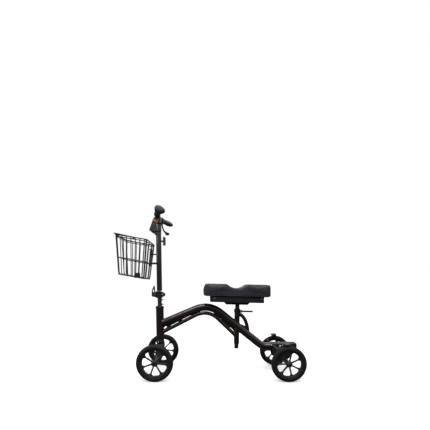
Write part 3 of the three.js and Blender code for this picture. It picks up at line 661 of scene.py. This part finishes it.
def rim_mesh(radius, first):
    """A rim: the band under the tyre, a hub with a groove in each face, and the spokes between them."""
    outer = radius * WHEEL["bead"] + 0.4
    inner = radius * WHEEL["window"]
    band_edge = [(inner, -9), (outer - 1.5, -11.6), (outer, -11.6)]
    band = ring_on_z([*band_edge, *mirror_image(band_edge)], 1.4, 120, steps=3)
    hub_r, hub_y = WHEEL["hub"], WHEEL["hub_half"]
    bore, groove_in, groove_out, shoulder = 6.8, 9, 10.6, 11.8
    hub_edge = [
        (bore, -hub_y), (groove_in, -hub_y), (groove_in, -hub_y + 1), (groove_out, -hub_y + 1),
        (groove_out, -hub_y), (shoulder, -hub_y), (hub_r, -hub_y + 3),
    ]
    hub = ring_on_z([*hub_edge, *mirror_image(hub_edge)], 0.5, 60)
    spokes = [
        turned(spoke_mesh(hub_r - 2, inner), "Y", -(first + 360 * i / WHEEL["spokes"]))
        for i in range(WHEEL["spokes"])
    ]
    return together(on_y(band), on_y(hub), *spokes)


def wheels():
    for end, first in FIRST_SPOKE.items():
        for side in SIDES:
            tyre_node, rim_node = f"tyre_{end}_{side}", f"rim_{end}_{side}"
            axle = centre(tyre_node)
            radius = axle.z / MM
            place = Matrix.Translation(axle) @ Matrix.Scale(MM, 4)
            stand_in(tyre_node, tyre_mesh(radius), place, sharp=30)
            stand_in(rim_node, rim_mesh(radius, first), place)


def axles():
    """Both axles: the tube, and through it a bolt with a nut at its right end."""
    radius_in, bolt = 6.4, 10
    for end in FIRST_SPOKE:
        low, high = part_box(f"{end}_axle_tube")
        half = (high.y - low.y) / 2 / MM
        radius = (high.z - low.z) / 2 / MM
        place = Matrix.Translation(centre(f"{end}_axle_tube")) @ Matrix.Scale(MM, 4)
        tube = on_y(tube_on_z(radius, radius_in, -half, half, 1.2))
        stand_in(f"{end}_axle_tube", tube, place)
        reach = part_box(f"{end}_axle")[1].y / MM
        shank = on_y(rod_on_z(WHEEL["axle"], -reach + 1, reach - 8, 1.0))
        head = facing(hex_head(bolt, 6), (0, 1, 0), (0, reach - 7, 0))
        stand_in(f"{end}_axle", together(shank, head), place)
        nut = facing(hex_head(bolt, 6.6), (0, -1, 0), (0, -reach + 7, 0))
        stand_in(f"{end}_axle_nut", nut, place)


# ---------- frame ----------
# each tube's radius and the (x, y, z, bend) corners of its centre line; the arc's are a Bezier curve's
UPPER = {
    "radius": 22,
    "corners": [(250, 0, 293.2), (-23.2, 0, 408.9, 90), (-339.4, 0, 156, 50), (-388.7, 0, 156)],
}
LOWER = {"radius": 11, "corners": [(255, 0, 237), (-17.1, 0, 376.5, 88), (-186, 0, 214)]}
ARC = {"radius": 10.5, "corners": [(-190, 0, 349), (-228, 0, 345), (-254, 0, 300), (-254, 0, 215)]}


def bezier(corners):
    a, b, c, d = [Vector(corner) for corner in corners]
    shares = [i / 24 for i in range(25)]
    return [
        a * (1 - t) ** 3 + b * 3 * t * (1 - t) ** 2 + c * 3 * t**2 * (1 - t) + d * t**3 for t in shares
    ]


UPPER_LINE = spread(bent(UPPER["corners"]), 12)
LOWER_LINE = spread(bent(LOWER["corners"]), 12)
ARC_LINE = bezier(ARC["corners"])
HEAD_RADIUS, SEAT_RADIUS = 23, 15.5
# how far up the knee's axis the seat tube crosses the upper tube
SEAT_CROSSING = 277


def near_line(line, radius):
    """A test of whether a point lies within the radius of a line."""
    points = np.array(line)
    starts, steps = points[:-1], np.diff(points, axis=0)

    def inside(point):
        share = np.clip(((np.array(point) - starts) * steps).sum(1) / (steps**2).sum(1), 0, 1)
        nearest = starts + steps * share[:, None]
        return np.linalg.norm(np.array(point) - nearest, axis=1).min() < radius

    return inside


def near_axis(place, radius):
    """The same for a leaning axis."""
    back = place.inverted() @ FRAME

    def inside(point):
        local = back @ Vector(point)
        return math.hypot(local.x, local.y) < radius

    return inside


def weld(name, starts, direction, inside, radius=2.3):
    """A rippled bead where lines along a direction leave the inside of the part they are welded to."""
    reach, halvings = 90, 18
    line = []
    for start in starts:
        low, high = 0.0, reach
        if not inside(start) or inside(start + direction * high):
            continue
        for _ in range(halvings):
            middle = (low + high) / 2
            if inside(start + direction * middle):
                low = middle
            else:
                high = middle
        line.append(start + direction * high)
    count = len(line)
    ripple = [radius * (1 + 0.16 * math.sin(i * 2.1)) for i in range(count)]
    rings = []
    for i, point in enumerate(line):
        along = (line[(i + 1) % count] - line[i - 1]).normalized()
        normal = direction - along * direction.dot(along)
        normal.normalize()
        across = along.cross(normal)
        rings.append([point + across * u + normal * v for u, v in circle(ripple[i], 8)])
    trim(name, "upper_tube", loft(rings, closed=True), FRAME)


def ring_round(point, direction, radius, count=48):
    """Points round a tube's outside, at one place along it."""
    direction = Vector(direction).normalized()
    side = Vector((0, 1, 0))
    across = direction.cross(side)
    return [point + across * u + side * v for u, v in circle(radius, count)]


def main_tubes():
    """The two long tubes, the arc behind the seat tube with its plate, the webs, welds and rivets."""
    upper = sweep(UPPER_LINE, circle(UPPER["radius"], 64))
    stand_in("upper_tube", upper, FRAME)
    stand_in("lower_tube", sweep(LOWER_LINE, circle(LOWER["radius"], 40)), FRAME)
    foot = [(-200, 292), (-236, 277), (-254, 266), (-254, 221), (-200, 250)]
    arc = together(sweep(ARC_LINE, circle(ARC["radius"], 36)), plate(foot, -3, 3, 0.5, 2))
    stand_in("gusset_arc", arc, FRAME)
    for node in ("front_web", "rear_web"):
        softened(node, 0.5, 2)
    head, seat = near_axis(STEER, HEAD_RADIUS), near_axis(KNEE, SEAT_RADIUS)
    back = (UPPER_LINE[1] - UPPER_LINE[0]).normalized()
    weld("weld_head_upper", ring_round(UPPER_LINE[0], back, UPPER["radius"], 72), back, head)
    back = (LOWER_LINE[1] - LOWER_LINE[0]).normalized()
    weld("weld_head_lower", ring_round(LOWER_LINE[0], back, LOWER["radius"]), back, head)
    front = (LOWER_LINE[-2] - LOWER_LINE[-1]).normalized()
    weld("weld_seat_lower", ring_round(LOWER_LINE[-1], front, LOWER["radius"]), front, seat)
    up = (KNEE.to_3x3() @ Vector((0, 0, 1))).normalized()
    middle = FRAME.inverted() @ KNEE @ Vector((0, 0, SEAT_CROSSING))
    within = near_line(UPPER_LINE, UPPER["radius"])
    weld("weld_seat_top", ring_round(middle, up, SEAT_RADIUS, 72), up, within)
    weld("weld_seat_bottom", ring_round(middle, -up, SEAT_RADIUS, 72), -up, within)
    back = (ARC_LINE[1] - ARC_LINE[0]).normalized()
    weld("weld_arc_top", ring_round(ARC_LINE[0], back, ARC["radius"]), back, seat, radius=1.8)
    rivet = facing(rod_on_z(4.2, 0, 5, 1), (0, 1, 0), (-93, 3, 318))
    both_sides("web_rivet", "upper_tube", rivet, FRAME, "steel")
    screw = facing(screw_head(4.6, 2.6), (0, 1, 0), (-390, 31.8, 168))
    both_sides("tail_box_screw", "upper_tube", screw, FRAME, "steel")


def head_tube():
    """The head tube with its two pressed rims, and a bearing cup at each end."""
    low, high, inner, outer, rim = 178, 391, 19, HEAD_RADIUS, HEAD_RADIUS + 1.2
    corners = [
        (outer, low), (rim, low + 1), (rim, low + 12), (outer, low + 14), (outer, high - 14),
        (rim, high - 12), (rim, high - 1), (outer, high), (inner, high), (inner, low),
    ]
    stand_in("head_tube", ring_on_z(corners, 0.8, 96), STEER)
    # (radius, height above the tube's end)
    cup = [(22.5, 0.3), (22.5, 2), (20, 3.9), (13.2, 3.9), (13.2, -14), (18.6, -14), (18.6, 0.3)]
    for node, face, way in (("head_bearing_lower", low, -1), ("head_bearing_upper", high, 1)):
        stand_in(node, ring_on_z([(r, face + way * h) for r, h in cup], 0.4), STEER)


def upright_tubes():
    """The straight tubes: outer and inner radius, and the lowest and highest point along the axis."""
    stand_in("steering_shaft", tube_on_z(12.5, 9.5, 151, 450), STEER, material="black_paint")
    stand_in("column_tube", tube_on_z(15.5, 13.2, 483, 811), STEER)
    stand_in("stem_tube", tube_on_z(12.5, 10.5, 620, 901), STEER)
    stand_in("seat_tube", tube_on_z(SEAT_RADIUS, 13.2, 171, 379), KNEE)
    stand_in("knee_post", tube_on_z(12.5, 10.5, 144, 403), KNEE)


def tail():
    softened("tail_box", 1.6, 4)
    for node in ("tail_plate_left", "tail_plate_right"):
        softened(node, 1.0)
    for name in ("front", "rear"):
        node = f"tail_bolt_{name}"
        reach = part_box(node)[1].y / MM
        shank = on_y(rod_on_z(3.5, -reach + 1, reach - 1))
        heads = [facing(screw_head(7, 4.2), (0, way, 0), (0, way * (reach - 4), 0)) for way in (1, -1)]
        place = Matrix.Translation(centre(node)) @ Matrix.Scale(MM, 4)
        stand_in(node, together(shank, *heads), place)


def brake_arms():
    for side in SIDES:
        remeshed(f"brake_arm_{side}", 1.6)


# ---------- fork and fold joint ----------
def fork():
    softened("fork_crown", 2.0, 4)
    for node, z in (("stop_screw_upper", 430), ("stop_screw_lower", 404)):
        head = facing(screw_head(4, 9.4), (-1, 0, 0), (-13.4, 0, z))
        shank = facing(rod_on_z(2.4, 0, 5), (-1, 0, 0), (-10, 0, z))
        stand_in(node, together(head, shank), STEER)
    for end, x in (("rear", -12), ("front", 12)):
        bolt = facing(hex_head(5, 3.4), (0, 1, 0), (x, 49.2, 161))
        both_sides(f"crown_bolt_{end}", "fork_crown", bolt, STEER, "steel")
    set_screw = facing(screw_head(3.4, 2.2), (9, 21, 0), (9.2, 21.6, 184))
    both_sides("head_set_screw", "head_tube", set_screw, STEER, "steel")


def fold_joint():
    for node in ("fold_base", "fold_head"):
        remeshed(node, 1.0)
    remeshed("fold_lever", 0.9, 3)
    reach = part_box("fold_pin")[1].y / MM
    pin = on_y(rod_on_z(4, -reach, reach, 1.0))
    stand_in("fold_pin", pin, Matrix.Translation(centre("fold_pin")) @ Matrix.Scale(MM, 4))


# ---------- column, bracket and knob ----------
def column_fittings():
    remeshed("column_collar", 1.2, 3)
    remeshed("height_knob", 1.2, 4)
    remeshed("basket_bracket", 1.3)


# ---------- handlebar ----------
BAR = {"radius": 11, "z": 914, "sweep": -26, "rise": 11, "bend": 45, "half": 226}


def bar_at(y):
    """The centre of the bar's left half, outside its bend."""
    share = (y - BAR["bend"]) / (BAR["half"] - BAR["bend"])
    return Vector((BAR["sweep"] * share, y, BAR["z"] + BAR["rise"] * share))


def handlebar():
    end = bar_at(BAR["half"])
    corners = [
        (end.x, -end.y, end.z), (0, -BAR["bend"], BAR["z"], 18), (0, BAR["bend"], BAR["z"], 18), tuple(end),
    ]
    stand_in("handlebar", sweep(bent(corners), circle(BAR["radius"], 40), up=(0, 0, 1)), STEER)


# the palm rest grows, and the end rounds off, over shares of the grip's length
GRIP = {"ends": (108, 230), "sleeve": 14.2, "palm_from": 0.12, "palm_over": 0.66, "dome_over": 0.07}
# the palm rest's outline: how far it stands from the bar's centre at angles from straight ahead
PALM_ANGLE = [0, 90, 120, 150, 180, 199, 212, 240, 270, 300, 360]
PALM_REACH = [15, 14, 15, 20, 30, 45.5, 43, 28, 18, 15, 15]


def grip_mesh():
    """An ergonomic grip: a sleeve that spreads rearward and down into a palm rest towards its outer end."""
    count, rows = 72, 32
    angles = [2 * math.pi * k / count for k in range(count)]
    outline = np.interp([math.degrees(angle) for angle in angles], PALM_ANGLE, PALM_REACH)
    for _ in range(2):
        outline = (np.roll(outline, 1) + outline * 2 + np.roll(outline, -1)) / 4
    rings = []
    for i in range(rows + 1):
        share = i / rows
        y = GRIP["ends"][0] * (1 - share) + GRIP["ends"][1] * share
        middle = bar_at(y)
        palm = min(1, max(0, (share - GRIP["palm_from"]) / GRIP["palm_over"]))
        palm = palm * palm * (3 - 2 * palm)
        end = min(1, (1 - share) / GRIP["dome_over"])
        dome = math.sqrt(1 - (1 - end) ** 2 * 0.55)
        collar = 1.6 if share < 0.05 else 0
        ring = []
        for angle, wide in zip(angles, outline):
            radius = (GRIP["sleeve"] + (wide - GRIP["sleeve"]) * palm + collar) * dome
            ring.append((middle.x + radius * math.cos(angle), y, middle.z + radius * math.sin(angle)))
        rings.append(ring)
    return loft(rings)


LEVER_PIVOT = (-10, 92, 899)
LEVER_ROUTE = [
    LEVER_PIVOT, (-11, 98, 879), (-16, 122, 860), (-22, 146, 853), (-29, 190, 850), (-30, 219, 849),
]
# the blade's half width and half thickness at shares of its length
BLADE_SHARE = [0, 0.2, 0.45, 0.68, 0.82, 0.94, 1]
BLADE_WIDE = [4.4, 4.4, 5.5, 8, 13, 13, 7]
BLADE_THICK = [3.6, 3.6, 4, 5.5, 9, 8.6, 4.5]


def blade(share):
    wide = np.interp(share, BLADE_SHARE, BLADE_WIDE)
    thick = np.interp(share, BLADE_SHARE, BLADE_THICK)
    return squircle(wide, thick, 28, 0.8)


def pair(name, mesh, **settings):
    """Stands in for a left and a right CAD node with a mesh and its mirror image."""
    other = mirrored(mesh)
    stand_in(name + "_left", mesh, STEER, **settings)
    stand_in(name + "_right", other, STEER, **settings)


def levers_and_grips():
    pair("grip", grip_mesh(), sharp=50)
    line = smooth_line([Vector(point) for point in LEVER_ROUTE], 12)
    eye = facing(rod_on_z(5, -4.6, 4.6, 1), (1, 0, 0), LEVER_PIVOT)
    pair("brake_lever", together(sweep(line, blade, up=(0, 0, 1)), eye))
    for side in SIDES:
        remeshed(f"lever_bracket_{side}", 1.1)
    bracket_front = 1.6
    screw = facing(screw_head(3.4, 2.2), (1, 0, 0), (bracket_front, *LEVER_PIVOT[1:]))
    both_sides("lever_pivot_screw", "stem_housing", screw, STEER, "black_paint")


def housing():
    remeshed("stem_housing", 1.1, 3)
    remeshed("release_button", 0.9, 3)
    wall, lowest, pitch, tall = 20.2, 850, 9, 3.4
    for i in range(4):
        z = lowest + pitch * i
        rib = block((27, wall, z), (41 - 3.2 * i, 22, z + tall), 0.8)
        both_sides(f"housing_rib_{i + 1}", "stem_housing", rib, STEER)
    # a raised ridge down each side of the housing, given the bright steel finish as a painted highlight line
    strip = block((1, wall, 838), (7, 21.8, 880), 0.7)
    both_sides("housing_highlight_ridge", "stem_housing", strip, STEER, "steel")


# ---------- basket ----------
# (x, z) of the bottom's and the top's rear and front edges, half widths, corner and wire radii
BASKET = {
    "bottom": {"rear": (68, 553), "front": (221, 583), "half": 115},
    "top": {"rear": (43, 769), "front": (224, 803), "half": 145},
    "rear_corner": 10, "front_corner": 14, "wire": 2.7, "rim": 3.4,
}
CROSS_HOOPS = 6
LENGTHWISE_HOOPS = (-0.12, -0.02, 0.32, 0.68, 1.02, 1.12)


def basket_level(share, inset):
    """The basket's rear x, front x, half width and a height for each x, at a share of the way up."""
    low, high = BASKET["bottom"], BASKET["top"]
    rear = np.array(low["rear"]) * (1 - share) + np.array(high["rear"]) * share
    front = np.array(low["front"]) * (1 - share) + np.array(high["front"]) * share
    half = low["half"] * (1 - share) + high["half"] * share - inset

    def height(x):
        return rear[1] + (front[1] - rear[1]) * (x - rear[0]) / (front[0] - rear[0])

    return rear[0] + inset, front[0] - inset, half, height


def basket_loop(share, inset):
    """A closed loop of wire round the basket."""
    rear, front, half, height = basket_level(share, inset)
    rear_corner, front_corner = BASKET["rear_corner"], BASKET["front_corner"]
    flat = [
        (rear, -half, rear_corner), (front, -half, front_corner),
        (front, half, front_corner), (rear, half, rear_corner),
    ]
    return [Vector((x, y, height(x))) for x, y in fillet(flat, 0, steps=10)]


def hoop(route):
    """A wire through (x, y, z) corners: down one wall, along the floor and up the other."""
    return fillet([(*point, 16) for point in route], 0, closed=False, steps=6)


def hoop_levels():
    """The basket's outline at the top and at the floor, inside its rim, with how far wires lie above it."""
    inset = BASKET["wire"] + BASKET["rim"]
    return (*basket_level(1, inset), 0), (*basket_level(0, inset), 2)


def cross_hoop(place):
    """A hoop from side to side, at a share of the way forward."""
    behind, spare = 10, 44
    route = []
    for rear, front, half, height, lift in hoop_levels():
        x = rear + behind + (front - rear - spare) * place
        route.append((x, half, height(x) + lift))
    return hoop(route + [(x, -y, z) for x, y, z in reversed(route)])


def lengthwise_hoop(place):
    """A hoop from back to front, at a share of the way from the right to the left."""
    beside_rear, beside_front = 20, 30
    back, ahead = [], []
    for rear, front, half, height, lift in hoop_levels():
        back.append((rear, (half - beside_rear) * (2 * place - 1), height(rear) + lift))
        ahead.append((front, (half - beside_front) * (2 * place - 1), height(front) + lift))
    return hoop(back + ahead[::-1])


def carry_handle():
    """The carrying handle: a bent wire round the front of the rim, with an eye at each end."""
    x, half, front, bend = 117, 149.5, 226, 15
    height = basket_level(1, 0)[3]
    pivot, ahead = height(x) - 6, height(front) + 4.5
    arm, start = pivot + 5, x - 3
    route = [(start, half, arm), (front, half, ahead, bend), (front, -half, ahead, bend), (start, -half, arm)]
    parts = [wire(spread(bent(route), 8), 3.1, up=(0, 0, 1), sides=16)]
    for side in SIDES.values():
        eye = facing(rod_on_z(6, -2.2, 2.2, 0.8), (0, 1, 0), (x, side * half, pivot))
        pin = facing(rod_on_z(2.1, -8, 0, 0.4), (0, side, 0), (x, side * half, pivot))
        parts += [eye, pin]
    stand_in("basket_handle", together(*parts), STEER)


def basket():
    """The basket's wires: four loops round it and the hoops, with the hook that hangs on the bracket."""
    thin, rim = BASKET["wire"], BASKET["rim"]
    wires = [wire(basket_loop(1, rim), rim, True, (0, 0, 1), 14)]
    for share, inset, radius in (
        (0.955, rim + thin, thin),
        (0.44, rim + thin + thin, thin + 0.5),
        (0.012, rim + thin, thin + 1.3),
    ):
        wires.append(wire(basket_loop(share, inset), radius, True, (0, 0, 1)))
    for i in range(CROSS_HOOPS):
        wires.append(wire(cross_hoop(i / (CROSS_HOOPS - 1)), thin, up=(1, 0, 0)))
    for share in LENGTHWISE_HOOPS:
        wires.append(wire(lengthwise_hoop(share), thin, up=(0, 1, 0)))
    hook_half = 26
    hook_outline = [(36, 712), (36, 729), (52, 729), (52, 723.5), (40, 723.5), (40, 712)]
    hook = plate([tuple(p) for p in fillet(hook_outline, 1.5, steps=2)], -hook_half, hook_half, 0.6, 2)
    stand_in("basket", together(*wires, hook), STEER)
    clip = block((91, 111, 560), (123, 119, 588), 1.5)
    show("basket_clip", clip, STEER, "basket", "moulded_plastic", material="tray_plastic")
    carry_handle()


# ---------- knee rest ----------
def simulated(mesh, cap):
    """The pad's cover after it has swelled under a little pressure, no point further than the cap."""
    frames = 20
    pad = bpy.data.objects.new("pad", mesh)
    scene = bpy.context.scene
    scene.collection.objects.link(pad)
    start = np.array([v.co for v in mesh.vertices])
    cloth = pad.modifiers.new("cloth", "CLOTH")
    cloth.settings.use_pressure = True
    cloth.settings.uniform_pressure_force = 4
    cloth.settings.quality = 5
    cloth.settings.effector_weights.gravity = 0
    cloth.point_cache.frame_start = 1
    cloth.point_cache.frame_end = frames
    for step in range(1, frames + 1):
        scene.frame_set(step)
    swelled = bpy.data.meshes.new_from_object(pad.evaluated_get(bpy.context.evaluated_depsgraph_get()))
    end = np.array([v.co for v in swelled.vertices])
    scene.frame_set(1)
    bpy.data.objects.remove(pad)
    move = end - start
    length = np.linalg.norm(move, axis=1, keepdims=True)
    capped = start + move * np.minimum(1, cap / np.maximum(length, 1e-9))
    for vertex, place in zip(swelled.vertices, capped):
        vertex.co = place
    return swelled


def piping(pad):
    """The corded seams round the pad's top and bottom edges, laid on its own surface."""
    mesh = pad.copy()
    mesh.transform(FRAME.inverted())
    skin = BVHTree.FromPolygons([v.co for v in mesh.vertices], [p.vertices for p in mesh.polygons])
    points = np.array([v.co for v in mesh.vertices])
    low, high = points.min(0), points.max(0)
    away, corner, inward, clear = 30, 34, 16, 60
    flat = [(low[0], low[1]), (high[0], low[1]), (high[0], high[1]), (low[0], high[1])]
    rounded = fillet(flat, corner, steps=8)
    line = spread([Vector((x, y, 0)) for x, y in [*rounded, rounded[0]]], 6)[:-1]
    middle = Vector(((low[0] + high[0]) / 2, (low[1] + high[1]) / 2, 0))
    cords = []
    for way, start in ((1, high[2] + clear), (-1, low[2] - clear)):
        path = []
        for point in line:
            outward = (point - middle).normalized()
            inner = point - outward * inward
            hit = skin.ray_cast(Vector((inner.x, inner.y, start)), Vector((0, 0, -way)))[0]
            outside = Vector((point.x, point.y, hit.z)) + outward * away + Vector((0, 0, way * away))
            path.append(skin.find_nearest(outside)[0])
        for _ in range(3):
            path = [(path[i - 1] + path[i] * 2 + path[(i + 1) % len(path)]) / 4 for i in range(len(path))]
        cords.append(wire(path, 1.5, True, (0, 0, 1)))
    return together(*cords)


def cushion():
    """The knee pad, in metres: foam under a vinyl cover, crowned on every face, with corded seams."""
    inset, cap = 0.0012, 0.0022
    low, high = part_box("cushion")
    middle = (low + high) / 2
    mesh = tidy(NODES["cushion"].data.copy(), 1e-5)
    shrink = Matrix.Diagonal([1 - 2 * inset / side for side in high - low]).to_4x4()
    mesh.transform(Matrix.Translation(middle) @ shrink @ Matrix.Translation(-middle))
    mesh = through(mesh, ("REMESH", {"mode": "VOXEL", "voxel_size": 0.0045}), ("SMOOTH", {"iterations": 2}))
    mesh = simulated(mesh, cap)
    mesh = through(mesh, ("SMOOTH", {"iterations": 2}), ("SUBSURF", {"levels": 1, "render_levels": 1}))
    cords = piping(mesh)
    pad = stand_in("cushion", mesh, Matrix.Identity(4), sharp=70)
    show("cushion_piping", cords, FRAME, NODES["cushion"]["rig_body"], "upholstery")


def knee_rest():
    for node in ("knee_tray", "knee_bracket"):
        softened(node, 1.6, material="tray_plastic")
    remeshed("seat_collar", 1.1)
    remeshed("clamp_handle", 1.1)
    tray_side, screw_height = 80, 441
    for end, x in (("rear", -130), ("front", 138)):
        screw = facing(screw_head(4.2, 2.6), (0, 1, 0), (x, tray_side, screw_height))
        both_sides(f"tray_screw_{end}", "knee_tray", screw, KNEE, "steel")


# ---------- studio ----------
def backdrop(name, mesh, colour, glow):
    """A piece of the studio that only the camera sees: it adds no light and shows in no reflection."""
    nodes = Nodes(name)
    nodes.set(Base_Color=(*colour, 1), Roughness=0.9, Specular_IOR_Level=0.1)
    nodes.set(Emission_Color=(1, 1, 1, 1), Emission_Strength=glow)
    mesh.materials.append(nodes.material)
    piece = bpy.data.objects.new(name, mesh)
    bpy.context.scene.collection.objects.link(piece)
    piece.visible_diffuse = False
    piece.visible_glossy = False
    return piece


def sky():
    """Soft light from overhead that fades towards the horizon, with a little from below."""
    world = bpy.data.worlds.new("studio")
    world.use_nodes = True
    tree = world.node_tree
    background = tree.nodes["Background"]
    background.inputs["Color"].default_value = (1, 1, 1, 1)
    direction = tree.nodes.new("ShaderNodeTexCoord")
    split = tree.nodes.new("ShaderNodeSeparateXYZ")
    ramp = tree.nodes.new("ShaderNodeMapRange")
    ramp.interpolation_type = "SMOOTHSTEP"
    for key, number in zip(("From Min", "From Max", "To Min", "To Max"), (-0.05, 1, 0.1, 1.4)):
        ramp.inputs[key].default_value = number
    tree.links.new(direction.outputs["Generated"], split.inputs["Vector"])
    tree.links.new(split.outputs["Z"], ramp.inputs["Value"])
    tree.links.new(ramp.outputs["Result"], background.inputs["Strength"])
    bpy.context.scene.world = world


def studio():
    far, dome_radius, steps = 12, 11, 24
    flat = [(-far, -far, 0), (far, -far, 0), (far, far, 0), (-far, far, 0)]
    floor = backdrop("floor", mesh_of(flat, [(0, 1, 2, 3)]), (0.82, 0.82, 0.82), 0.25)
    floor.location.z = -0.0005
    turn = [math.pi * i / steps for i in range(steps + 1)]
    bowl = lathe([(dome_radius * math.sin(a), dome_radius * math.cos(a)) for a in turn], 48)
    dome = backdrop("dome", bowl, (0, 0, 0), 1.0)
    dome.visible_shadow = False
    sky()
    bpy.context.scene.view_settings.view_transform = "Standard"
    target = Vector((0, 0, 0.45))
    for name, place, wide, deep, power in (
        ("strip", (0.1, 1.3, 2.3), 2.6, 0.35, 42),
        ("side", (2.2, 1.6, 1.5), 0.5, 1.4, 14),
        ("back", (-0.6, -2.0, 2.0), 2.0, 0.5, 12),
    ):
        light = bpy.data.lights.new(name, "AREA")
        light.shape = "RECTANGLE"
        light.size, light.size_y = wide, deep
        light.energy = power
        lamp = bpy.data.objects.new(name, light)
        lamp.location = place
        lamp.rotation_mode = "QUATERNION"
        lamp.rotation_quaternion = (target - Vector(place)).to_track_quat("-Z", "Y")
        bpy.context.scene.collection.objects.link(lamp)


wheels()
axles()
main_tubes()
head_tube()
upright_tubes()
tail()
brake_arms()
fork()
fold_joint()
column_fittings()
handlebar()
levers_and_grips()
housing()
basket()
cushion()
knee_rest()
studio()
